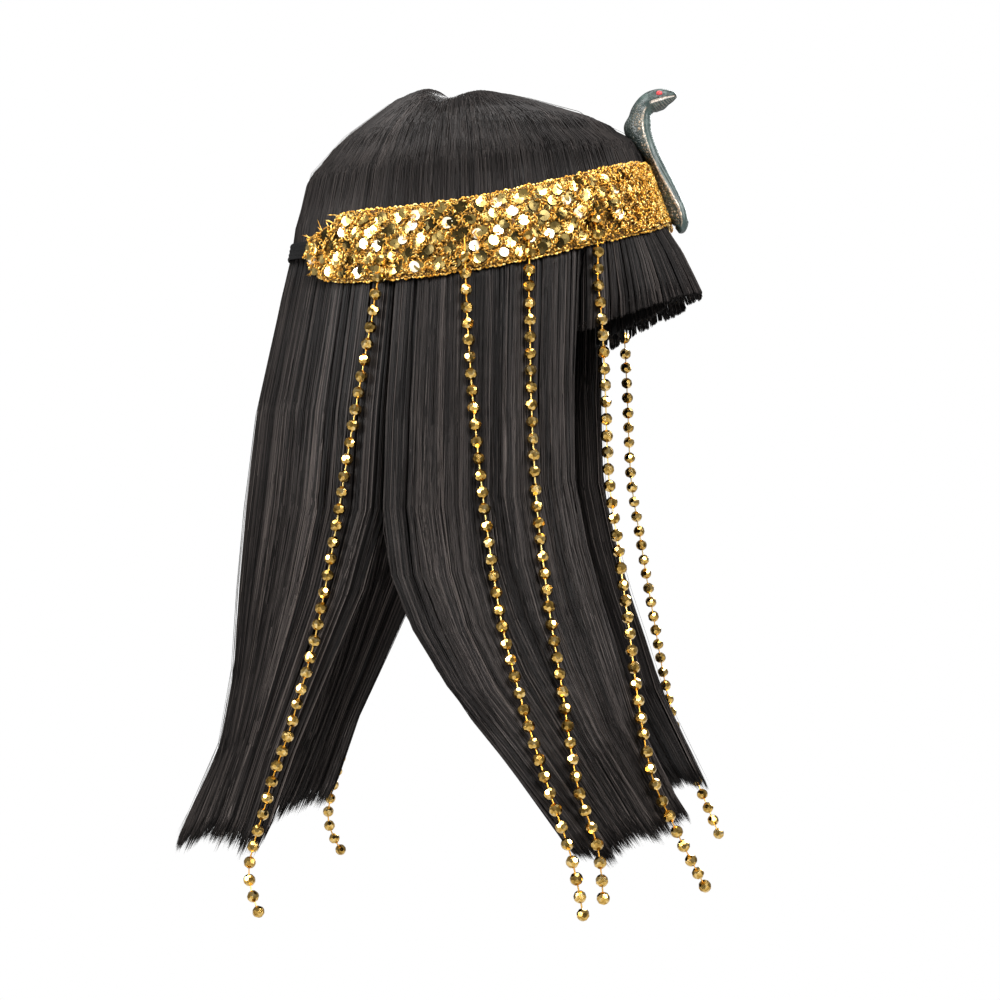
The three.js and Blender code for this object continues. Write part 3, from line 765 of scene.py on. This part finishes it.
rng = np.random.default_rng(51)
spots = []
for row in (-2, -1, 0, 1, 2):
    shift = DIAMOND["long"] * (row % 2) / 2
    for distance in np.arange(shift, band_length, DIAMOND["long"]):
        for ahead, above in SEQUIN_PAIR:
            spots.append((distance + ahead, row * DIAMOND["half_high"] + above))
spots = np.array(spots) + rng.normal(0, 0.5, (len(spots), 2))
sequin_turn = turn_after(spots[:, 0])
inside = np.abs(spots[:, 1]) < band_edge(sequin_turn, spots[:, 1]) - 1.6
kept = inside & (rng.random(len(spots)) < 0.25 + 0.75 * ease(np.abs(sequin_turn), *THREADED_TURN))
spots, sequin_turn = spots[kept], sequin_turn[kept]
lifted = BAND_FACE + SEQUIN["lift"]
places, out = on_band(sequin_turn, spots[:, 1], lifted + SEQUIN["pile"] * rng.random(len(spots)))
ahead, _ = on_band(sequin_turn + 0.5, spots[:, 1], lifted)
along_band = square_to(unit(ahead - places), out)
up_band = np.cross(out, along_band)
lean = rng.normal(0, 0.12, (len(spots), 2)) + [0.05, 0.05]
faced = unit(out + along_band * lean[:, :1] + up_band * lean[:, 1:])
spin = rng.uniform(0, 2 * np.pi, len(spots))[:, None]
crosswise = square_to(along_band * np.cos(spin) + up_band * np.sin(spin), faced)
# Painted reflections: under half the sequins get dark tones and the others gold, and the few over the
# flashing share get near-white painted flashes, most round the turn in FLASHING.
tone_with_painted_light = rng.random(len(spots))
leaf_tone_with_painted_reflections = np.where(tone_with_painted_light < 0.45, 0.02 + 0.5 * tone_with_painted_light, 0.3 + 0.32 * tone_with_painted_light)
flashing = 0.94 - 0.16 * np.exp(-(((np.abs(sequin_turn) - FLASHING["turn"]) / FLASHING["spread"]) ** 2))
leaf_tone_with_painted_reflections = np.where(tone_with_painted_light > flashing, 0.86 + 0.1 * rng.random(len(spots)), leaf_tone_with_painted_reflections)
sizes = rng.uniform(0.92, 1.05, len(spots))
sequins = copies("headband_sequins", sequin, places, crosswise, faced, leaf_tone_with_painted_reflections, sizes, gilt)
bpy.data.objects.remove(sequin)
fix_on(sequins)

# The metallic thread: crinkled gold thread sewn over the cloth in slanting lines that cross between
# the sequins. In front it is worked thickly in loops, and little of the sequins shows.

THREAD = {"radius": 0.42, "reach": 1.25, "bulge": 0.8, "step": 0.85, "spread": 0.6, "points": 5}
FRONT = {"threads": 1500, "flat_turn": (5, 14), "spread": 34, "reach": 85, "rise": 17}

rng = np.random.default_rng(61)
firsts = np.arange(-2.5, band_length / DIAMOND["long"] + 2.5) * DIAMOND["long"]
reach = BAND_EDGES[4][1]
lattice_slant = DIAMOND["long"] / 2 / DIAMOND["half_high"]
rises = np.arange(-reach, reach, THREAD["step"] / np.hypot(1, lattice_slant))
spots = []
for slant in (lattice_slant, -lattice_slant):
    for first in firsts + rng.normal(0, 0.6, len(firsts)):
        spots.append(np.stack([first + rises * slant, rises], axis=1))
spots = np.concatenate(spots)
spots = spots + rng.normal(0, THREAD["spread"], spots.shape)
front_along = rng.normal(0, FRONT["spread"], FRONT["threads"])
front_along = band_length / 2 + np.clip(front_along, -FRONT["reach"], FRONT["reach"])
front_rise = rng.uniform(-FRONT["rise"], FRONT["rise"], FRONT["threads"])
spots = np.concatenate([spots, np.stack([front_along, front_rise], axis=1)])
on_cloth = np.abs(spots[:, 1]) < band_edge(turn_after(spots[:, 0]), spots[:, 1])
spots = spots[on_cloth & (spots[:, 0] > 0) & (spots[:, 0] < band_length)]
count = len(spots)
bow = np.linspace(-np.pi / 2, np.pi / 2, THREAD["points"])
heading = rng.uniform(0, np.pi, count)
way = np.stack([np.cos(heading), np.sin(heading)], axis=1)[:, None]
aside = np.stack([-np.sin(heading), np.cos(heading)], axis=1)[:, None]
reach = THREAD["reach"] * rng.uniform(0.6, 1.3, (count, 1)) * np.sin(bow)
curl = rng.normal(0, 0.6, (count, 1)) * np.cos(bow)
at = spots[:, None] + way * reach[..., None] + aside * curl[..., None]
turns = turn_after(np.clip(at[..., 0], 0, band_length))
rise = np.clip(at[..., 1], 0.3 - band_edge(turns, -1), band_edge(turns, 1) - 0.3)
proud = 0.5 + 0.5 * ease(np.abs(turns), *FRONT["flat_turn"])
piled = rng.uniform(0.5, 1.8, (count, 1)) + THREAD["bulge"] * np.cos(bow)
crinkles, crinkles_out = on_band(turns, rise, BAND_FACE + proud * piled)

gold_thread, dye = new_finish("gold_metallic_thread")
tone, to_end = chart_values(dye)
# Painted glints: each stitch's colour grows lighter and darker in waves along it.
painted_glint = dye.sum("SINE", to_end * 8.0 + tone * 90.0)
thread_gold_with_painted_glints = (0.6 * tone + 0.25 * painted_glint + 0.24).through(
    (0.0, (0.2, 0.07, 0.006)), (0.5, (0.82, 0.41, 0.05)), (1.0, (1.0, 0.78, 0.28))
)
seal(dye, Base_Color=thread_gold_with_painted_glints, Metallic=0.8, Roughness=0.3)

tones = 0.05 + 0.9 * rng.beta(0.5, 0.6, len(crinkles))
threads = spun("headband_threads", crinkles, THREAD["radius"], tones, crinkles_out, gold_thread)
fix_on(threads)

# The edging: gold thread worked over the whole edge of the band in small loops, that make it scalloped.
# At each end the cloth is drawn into a gilt oval tip, with cut ends of thread sticking out.

EDGING = {"pitch": 2.15, "half_span": 1.0, "bulge": 1.5, "radius": 0.5, "points": 7, "lift": 1.1}
FRAY = {"threads": 26, "length": (3.0, 8.5), "radius": 0.26, "points": 6}
TIP = {"long": 5.6, "wide": 6.6, "thick": 1.5, "from_end": (2.2, 1.7), "rise": -1.5, "lift": 0.6}


def read_along(walk, values, at):
    """Points or ways, read at distances along their walk."""
    return np.stack([np.interp(at, walk, values[:, k]) for k in range(3)], axis=-1)


top = np.linspace(-BAND_END, BAND_END, 900)
edge_turn = np.concatenate([top, top[::-1]])
edge_rise = np.concatenate([band_edge(top, 1), -band_edge(top, -1)])
edge, edge_out = on_band(edge_turn, edge_rise, STRAP_LIFT + EDGING["lift"])
edge_walk = lengths_along(edge)
edge_inward = np.cross(unit(np.gradient(edge, axis=0)), edge_out)
rng = np.random.default_rng(67)
loops = int(edge_walk[-1] / EDGING["pitch"])
middles = (np.arange(loops) + rng.normal(0, 0.12, loops)) * EDGING["pitch"]
size = rng.uniform(0.75, 1.25, (loops, 1))
bow = np.linspace(-np.pi / 2, np.pi / 2, EDGING["points"])
at = np.clip(middles[:, None] + EDGING["half_span"] * size * np.sin(bow), 0, edge_walk[-1])
sideways = 0.8 - EDGING["bulge"] * size * np.cos(bow)
lifted = 0.9 * size * rng.uniform(-0.4, 1.0, (loops, 1)) * np.cos(bow)
loop_in, loop_out = (read_along(edge_walk, ways, at) for ways in (edge_inward, edge_out))
arcs = read_along(edge_walk, edge, at) + loop_in * sideways[..., None] + loop_out * lifted[..., None]
tones = rng.uniform(0.1, 0.95, loops)
edging = spun("headband_edging", arcs, EDGING["radius"] * size, tones, loop_out, gold_thread, corners=5)

rng = np.random.default_rng(71)
count = FRAY["threads"]
share = np.linspace(0, 1, FRAY["points"])[:, None]
frays = []
frays_out = []
for side in (-1, 1):
    start_turn = side * rng.uniform(BAND_EDGES[5][0], BAND_END, count)
    below = rng.random(count) < 0.4
    rise = np.where(below, -1, 1) * (band_edge(start_turn, ~below) - 0.5)
    base, out = on_band(start_turn, rise, BAND_FACE)
    near, _ = on_band(start_turn + side * 0.5, rise, BAND_FACE)
    length = rng.uniform(*FRAY["length"], (count, 1, 1))
    way = unit(near - base) + out * rng.uniform(-0.1, 0.5, (count, 1))
    way = unit(way + [0, 0, 1] * rng.normal(0, 0.5, (count, 1)))
    curl = np.cross(way, out) * rng.normal(0, 1.0, (count, 1))
    frays.append(base[:, None] + way[:, None] * share * length + curl[:, None] * share**2)
    frays_out.append(np.repeat(out[:, None], FRAY["points"], axis=1))
frays = np.concatenate(frays)
tones = rng.uniform(0.2, 1.0, len(frays)) * 0.95
fray_ends = spun("fray_ends", frays, FRAY["radius"], tones, np.concatenate(frays_out), gold_thread)
join(edging, fray_ends)
fix_on(edging)

for hand, side in (("left", 1), ("right", -1)):
    tip = begin(
        f"headband_tip_{hand}", bpy.ops.mesh.primitive_uv_sphere_add, segments=20, ring_count=12, radius=MM
    )
    tip_turns = side * (BAND_END - np.array(TIP["from_end"]))
    (spot, near), (out, _) = on_band(tip_turns, TIP["rise"], BAND_FACE + TIP["lift"])
    rearward = unit(near - spot)
    upward = np.cross(rearward, out) * side
    ball = corners_of(tip) / MM
    crease = 1 - 0.35 * np.exp(-((ball[:, 1] / 0.16) ** 2)) * (ball[:, 2] > 0)
    leaf = (
        rearward * TIP["long"] * ball[:, :1] * (1 - 0.25 * ball[:, :1])
        + upward * TIP["wide"] * 0.8 * ball[:, 1:2]
        + out * TIP["thick"] * (ball[:, 2] * crease)[:, None]
    )
    set_corners(tip, spot + leaf)
    open_mesh(tip)
    bpy.ops.mesh.normals_make_consistent(inside=False)
    close_mesh()
    bpy.ops.object.shade_smooth()
    chart = tip.data.uv_layers[0]
    chart.name = "OFBake"
    for corner in chart.data:
        corner.uv = (0.56 + 0.1 * corner.uv[0], corner.uv[1])
    tip.data.materials.append(gilt)
    fix_on(tip)

# The elastic: a narrow black woven tape that joins the band's ends round the back of the head.
# It is drawn tight, with four raised ribs along it.

ELASTIC = {"half_width": 4.5, "thick": 0.5, "ribs": 4, "rib": 0.45, "overlap": 0.8}

black_tape, dye = new_finish("black_woven_elastic")
along, across = chart_values(dye, "UVMap")
pick = dye.sum("SINE", along * 900.0)
rib = dye.sum("SINE", across * (6.2832 * ELASTIC["ribs"]))
tape_black = (0.6 * rib + 0.4 * pick).between(-0.7, 1.0).blend((0.002, 0.002, 0.002), (0.012, 0.0115, 0.012))
seal(dye, Base_Color=tape_black, Roughness=0.7, Specular_IOR_Level=0.12, Normal=pick.relief(0.5, 0.25))

elastic = begin(
    "elastic_tape", bpy.ops.mesh.primitive_grid_add,
    x_subdivisions=80, y_subdivisions=4 * ELASTIC["ribs"], size=2,
)
flat = corners_of(elastic)
turns = 180 + flat[:, 0] * (180 - BAND_END + ELASTIC["overlap"])
ridged = ELASTIC["rib"] * np.abs(np.sin(np.pi * ELASTIC["ribs"] * (flat[:, 1] + 1) / 2))
tape, _ = on_band(turns, flat[:, 1] * ELASTIC["half_width"], STRAP_LIFT + ELASTIC["thick"] + ridged)
set_corners(elastic, tape)
shaped(elastic, "SOLIDIFY", thickness=ELASTIC["thick"] * MM, offset=-1)
bpy.ops.object.shade_smooth_by_angle(angle=np.radians(60))
elastic.data.materials.append(black_tape)
fix_on(elastic, "back_elastic")

# The cobra: a rearing snake moulded in one piece and fixed upright to the front of the band.
# It is cast in dark green, its scaly back and side ridges brushed with bronze, with red eyes.

COBRA = [
    # row, y and z of the body's line, its depths to the belly and to the spine, half its width
    (0, -108.6, -56.0, 1.2, 2.4, 3.2),
    (1, -110.4, -54.6, 2.6, 4.4, 6.4),
    (2, -111.3, -50.2, 3.2, 7.2, 7.4),
    (3, -110.7, -45.4, 3.0, 9.2, 7.2),
    (4, -107.9, -38.4, 2.9, 8.8, 7.0),
    (5, -104, -30.7, 3.2, 7.0, 7.6),
    (6, -99.2, -22.4, 3.9, 5.2, 9.0),
    (7, -96.6, -18.2, 4.5, 4.2, 9.8),
    (8, -94, -14.2, 5.3, 5.2, 10.5),
    (9, -91.7, -10.2, 6.0, 6.2, 11.0),
    (10, -89.8, -6.2, 6.5, 7.0, 11.2),
    (11, -88.2, 0.9, 6.6, 9.0, 10.4),
    (12, -88.6, 7.1, 5.8, 6.4, 8.0),
    (13, -90.8, 12, 5.2, 5.8, 6.6),
    (14, -94.4, 15, 6.4, 5.7, 7.3),
    (15, -98.8, 16.4, 6.3, 5.4, 7.2),
    (16, -103, 17.3, 4.3, 4.1, 5.5),
    (17, -106.2, 17.7, 2.6, 2.5, 3.7),
    (18, -108, 17.8, 0.9, 0.9, 1.6),
]
RIDGE = [(0, 85), (2, 88), (3, 92), (4, 98), (5.5, 103), (7, 96), (8.5, 82), (10.5, 72), (12, 72), (18, 74)]
MOUTH_TURN = 76
COBRA_GRID = {"x_subdivisions": 64, "y_subdivisions": 190, "size": 2}
NOSE_ROW = COBRA[-1][0]
EYE = {"x": 6.35, "y": -98.9, "z": 18.3, "radius": 1.65, "shape": (0.55, 1.05, 0.8)}


def hump(value, middle, width):
    return np.exp(-(((value - middle) / width) ** 2))


cobra = begin("cobra_moulding", bpy.ops.mesh.primitive_grid_add, **COBRA_GRID)
flat = corners_of(cobra)
around = 180 * flat[:, 0]
row = (flat[:, 1] + 1) / 2 * NOSE_ROW
y, z, belly, spine, half = (look_up(COBRA, column, row) for column in range(1, 6))
ahead = np.minimum(row + 0.05, NOSE_ROW)
behind = np.maximum(row - 0.05, 0)
step_y = look_up(COBRA, 1, ahead) - look_up(COBRA, 1, behind)
step_z = look_up(COBRA, 2, ahead) - look_up(COBRA, 2, behind)
step = np.hypot(step_y, step_z)
forward = np.stack([np.zeros(len(row)), -step_z / step, step_y / step], axis=1)
cos, sin = np.cos(np.radians(around)), np.sin(np.radians(around))
apart = np.abs(around)
body = ease(row, 0.8, 2.2) * (1 - ease(row, 11.5, 13.5))
head = ease(row, 13.4, 14.2)
ridge = look_up(RIDGE, 1, row)
relief = body * (0.75 * hump(apart, ridge, 6.5) - 0.45 * hump(apart, ridge - 17, 9))
relief += head * (0.4 * hump(apart, MOUTH_TURN + 9, 6) - 1.0 * hump(apart, MOUTH_TURN, 3.6))
relief += head * 0.35 * hump(apart, MOUTH_TURN - 10, 7)
brow = 0.9 * hump(apart, 128, 12) * hump(row, 15.0, 1.0)
socket = 0.5 * hump(apart, 108, 9) * hump(row, 15.1, 0.7)
relief += brow - socket
relief += 0.35 * hump(apart, 135, 12) * hump(row, 17.2, 0.25)
scute = 0.5 - 0.5 * np.cos(2 * np.pi * row * 2.2)
relief += 0.1 * scute * (1 - ease(apart, 38, 62)) * ease(row, 1.5, 3) * (1 - ease(row, 12, 13.5))
radial = unit(np.stack([sin, 0 * sin, 0 * sin], axis=1) + forward * cos[:, None])
depth = cos * np.where(cos > 0, belly, spine)
skin = np.stack([half * sin, y, z], axis=1) + forward * depth[:, None] + radial * relief[:, None]
set_corners(cobra, skin)
open_mesh(cobra)
bpy.ops.mesh.remove_doubles(threshold=0.01 * MM)
bpy.ops.mesh.select_all(action="DESELECT")
bpy.ops.mesh.select_non_manifold()
bpy.ops.mesh.fill_holes(sides=0)
bpy.ops.mesh.select_all(action="SELECT")
bpy.ops.mesh.normals_make_consistent(inside=False)
close_mesh()
bpy.ops.object.shade_smooth()

moulding, dye = new_finish("bronzed_green_moulding")
place = dye.add("TexCoord", out=3)
u, v = chart_values(dye, "UVMap")
apart_turn = dye.sum("ABSOLUTE", u - 0.5) * 360.0
rows = v * NOSE_ROW
ridge_paint = v.through(*((key / NOSE_ROW, (turn / 180,) * 3) for key, turn in RIDGE))
from_ridge = apart_turn - ridge_paint.part(0) * 180.0
scale_cells = {"Vector": place, "Scale": 620.0, "Randomness": 0.75}
scale_face = dye.add("TexVoronoi", {"feature": "DISTANCE_TO_EDGE"}, scale_cells).between(0.05, 0.3)
blotch = place.noise(230.0, 4.0)
streak = place.noise(900.0)
on_body = rows.between(0.8, 2.0) * (1 - rows.between(12.2, 13.6))
on_head = rows.between(13.5, 14.2)
dorsal = from_ridge.between(0.0, 12.0)
brushed = dorsal * (1 - from_ridge.between(20.0, 62.0)) * scale_face * blotch.between(0.38, 0.56) * on_body
ridge_line = (1 - dye.sum("ABSOLUTE", from_ridge).between(2.5, 8.0)) * on_body * streak.between(0.35, 0.6)
mouth_line = (1 - dye.sum("ABSOLUTE", apart_turn - MOUTH_TURN).between(3.0, 9.0)) * on_head
mouth_line = mouth_line * (1 - rows.between(17.3, 17.9)) * streak.between(0.25, 0.5)
green = blotch.between(0.3, 0.75).blend((0.022, 0.037, 0.034), (0.07, 0.1, 0.09))
grazed = place.noise(520.0, 5.0).between(0.38, 0.62)
jaw = dye.sum("SINE", rows * 17.0 + apart_turn * 0.16).between(-0.2, 0.7)
jaw = jaw * (1 - apart_turn.between(60.0, 72.0)) * apart_turn.between(8.0, 26.0)
green = (on_head * (1 - grazed) * 0.85).blend(green, (0.008, 0.012, 0.011))
green = (on_head * jaw * 0.6).blend(green, (0.2, 0.18, 0.15))
green = (dorsal * on_body * 0.8).blend(green, (0.018, 0.024, 0.021))
green = (brushed * 0.8).blend(green, (0.3, 0.21, 0.13))
green = (ridge_line * (0.85 - 0.35 * rows.between(6.0, 9.0))).blend(green, (0.5, 0.37, 0.27))
green = (mouth_line * 0.85).blend(green, (0.62, 0.53, 0.45))
seal(
    dye,
    Base_Color=green,
    Roughness=0.4 - 0.08 * ridge_line,
    Metallic=0.25 * ridge_line,
    Normal=(scale_face * dorsal * on_body + 0.3 * blotch).relief(0.7, 0.45),
)
cobra.data.materials.append(moulding)

eye_red, dye = new_finish("red_eye_paint")
fleck = dye.add("TexCoord", out=3).noise(1500.0).between(0.35, 0.65)
seal(dye, Base_Color=fleck.blend((0.32, 0.01, 0.014), (0.62, 0.05, 0.055)), Roughness=0.5)
for side in (-1, 1):
    eye = begin(
        "cobra_eye", bpy.ops.mesh.primitive_uv_sphere_add,
        segments=16, ring_count=10, radius=EYE["radius"] * MM,
    )
    bpy.ops.transform.resize(value=EYE["shape"])
    bpy.ops.transform.translate(value=(side * EYE["x"] * MM, EYE["y"] * MM, EYE["z"] * MM))
    bpy.ops.object.transform_apply(location=True, rotation=True, scale=True)
    bpy.ops.object.shade_smooth()
    eye.data.materials.append(eye_red)
    join(cobra, eye)
fix_on(cobra, "cobra")

# The bead strings: eight strings of faceted gilt plastic beads, sewn to the band at the nape, ear, cheek
# and temple on each side. They hang freely over the hair on a gold thread that shows between the beads.

STRING_TURNS = [
    # drop, and the turns of the strings at the nape, ear, cheek and temple
    (0, 109.5, 86.5, 68.5, 47),
    (25, 110.5, 86, 68, 46.5),
    (65, 112.5, 84.5, 67, 44.5),
    (110, 115, 82, 66, 42.5),
    (155, 117.5, 79, 65, 41.5),
    (200, 121, 76, 64, 42.5),
    (245, 126.5, 71.5, 62.5, 44),
    (285, 130, 66.5, 60.5, 43),
    (320, 128.5, 62.5, 57, 38),
    (360, 120, 60, 56.5, 29),
]
STRING_END = {"nape": 345, "ear": 347, "cheek": 342, "temple": 354}
STRING_LIFT = 3.4
FLARE_GONE = (64, 150)
OVER_BAND = (23, 42)
BEAD = {"radius": 3.25, "pitch": 8.6, "cut": 33.0, "play": 0.3, "wobble": 0.2}
CORE = {"radius": 0.42, "points": 110, "tone": 0.75}


def string_surface(turn, drop):
    flare = fringe_flare(turn, drop) * (1 - ease(drop, *FLARE_GONE))
    front, side, back = fall_reaches(turn, drop)
    return oval(front + flare, side, back, turn, band_height(turn) - drop)


bead_gold, dye = new_finish("gilt_bead")
tone, painted_facet_reflection = chart_values(dye)
# Painted reflections: each bead's facets go from dark brown to cream from corner to corner.
plated_with_painted_reflections = (0.3 * tone + 0.8 * painted_facet_reflection - 0.05).through(
    (0.0, (0.2, 0.1, 0.015)), (0.5, (0.72, 0.45, 0.11)), (1.0, (1.0, 0.82, 0.45))
)
seal(dye, Base_Color=plated_with_painted_reflections, Metallic=1.0, Roughness=0.12)

bead = begin("bead", bpy.ops.mesh.primitive_ico_sphere_add, subdivisions=1, radius=BEAD["radius"] * MM)
open_mesh(bead)
bpy.ops.mesh.bevel(offset_type="PERCENT", offset_pct=BEAD["cut"], affect="VERTICES")
close_mesh()
for corner in bead.data.vertices:
    corner.co = corner.co.normalized() * BEAD["radius"] * MM

for hand, side in (("left", 1), ("right", -1)):
    for column, where in enumerate(STRING_END, start=1):
        name = f"bead_string_{where}_{hand}"
        rng = np.random.default_rng(80 + 10 * column + side)
        drop = np.linspace(0, STRING_END[where], 300)
        turn = side * look_up(STRING_TURNS, column, drop)
        lift = STRING_LIFT + (1 - ease(drop, *OVER_BAND)) * BAND_FACE
        out = outwards(string_surface, turn, drop, 0.5)
        route = string_surface(turn, drop) + out * lift[:, None]
        walk = lengths_along(route)
        spots = np.arange(walk[-1] - BEAD["radius"], BEAD["radius"], -BEAD["pitch"])
        spots = spots + rng.uniform(-BEAD["play"], BEAD["play"], len(spots))
        places = read_along(walk, route, spots)
        tangent = unit(read_along(walk, unit(np.gradient(route, axis=0)), spots))
        facing = square_to(read_along(walk, out, spots), tangent)
        spin = rng.uniform(0, 2 * np.pi, len(spots))[:, None]
        turned = facing * np.cos(spin) + np.cross(tangent, facing) * np.sin(spin)
        wobble = unit(tangent + BEAD["wobble"] * rng.normal(0, 1, tangent.shape))
        turned = square_to(turned, wobble)
        tones = rng.uniform(0.05, 0.95, len(spots))
        sizes = rng.uniform(0.97, 1.02, len(spots))
        beads = copies(name + "_beads", bead, places, turned, wobble, tones, sizes, bead_gold)
        at = np.linspace(0, walk[-1], CORE["points"])
        path, path_out = (read_along(walk, values, at)[None] for values in (route, out))
        tones = np.array([CORE["tone"]])
        thread = spun(name + "_thread", path, CORE["radius"], tones, path_out, gold_thread, corners=4)
        join(beads, thread)
        fix_on(beads, name)
bpy.data.objects.remove(bead)

# The setting: a plain pale floor, shown to the camera as white, and the soft lamps of a studio.
# The camera stands level with the wig and looks at its right side.

FLOOR = {"vertices": 96, "radius": 7, "fill_type": "NGON", "location": (0, 0, -0.62)}
VIEW = {"target": (0, -0.011, -0.202), "from": (-1.1884, -0.178, -0.202), "lens": 78.55}
ROOM_LIGHT = 0.26
LIT_SPOT = (0, 0, -0.2)
LIGHTS = [
    # name, place, width, height, power
    ("key_softbox", (-1.6, -0.8, 0.95), 0.7, 0.7, 52),
    ("rear_softbox", (-1.3, 1.5, 0.6), 0.7, 0.9, 46),
    ("top_softbox", (-0.1, 0.1, 1.5), 1.2, 1.2, 30),
    ("far_softbox", (1.6, -0.6, 0.6), 0.9, 0.9, 30),
    ("front_softbox", (-0.7, -1.6, 0.9), 0.6, 0.6, 24),
]

floor = begin("floor", bpy.ops.mesh.primitive_circle_add, **FLOOR)
pale, dye = new_finish("pale_floor")
seen = dye.add("LightPath")
lit = dye.add("BsdfPrincipled", {}, {"Base Color": (0.35, 0.35, 0.35, 1), "Roughness": 0.95})
white = dye.add("Emission", {}, {"Color": (1, 1, 1, 1), "Strength": 1.0})
shown = dye.add("MixShader", {}, {0: seen, 1: lit, 2: white})
dye.add("OutputMaterial", {}, {"Surface": shown})
floor.data.materials.append(pale)


def aimed(name, data, spot, target):
    """A lamp or camera at its spot, turned to its target."""
    stand = set_out(name, data)
    stand.location = spot
    stand.rotation_euler = (Vector(target) - Vector(spot)).to_track_quat("-Z", "Y").to_euler()
    return stand


for name, spot, width, tall, power in LIGHTS:
    lamp = bpy.data.lights.new(name, "AREA")
    lamp.shape = "RECTANGLE"
    lamp.size = width
    lamp.size_y = tall
    lamp.energy = power
    aimed(name, lamp, spot, LIT_SPOT)

world = bpy.data.worlds.new("studio")
bpy.context.scene.world = world
world.use_nodes = True
world.node_tree.nodes.clear()
dye = Dye(world.node_tree)
seen = dye.add("LightPath")
strength = seen * (1 - ROOM_LIGHT) + ROOM_LIGHT
room = dye.add("Background", {}, {"Color": (1, 1, 1, 1), "Strength": strength})
dye.add("OutputWorld", {}, {"Surface": room})
bpy.context.scene.view_settings.view_transform = "Standard"

lens = bpy.data.cameras.new("camera")
lens.lens = VIEW["lens"]
lens.sensor_width = 36
bpy.context.scene.camera = aimed("camera", lens, VIEW["from"], VIEW["target"])
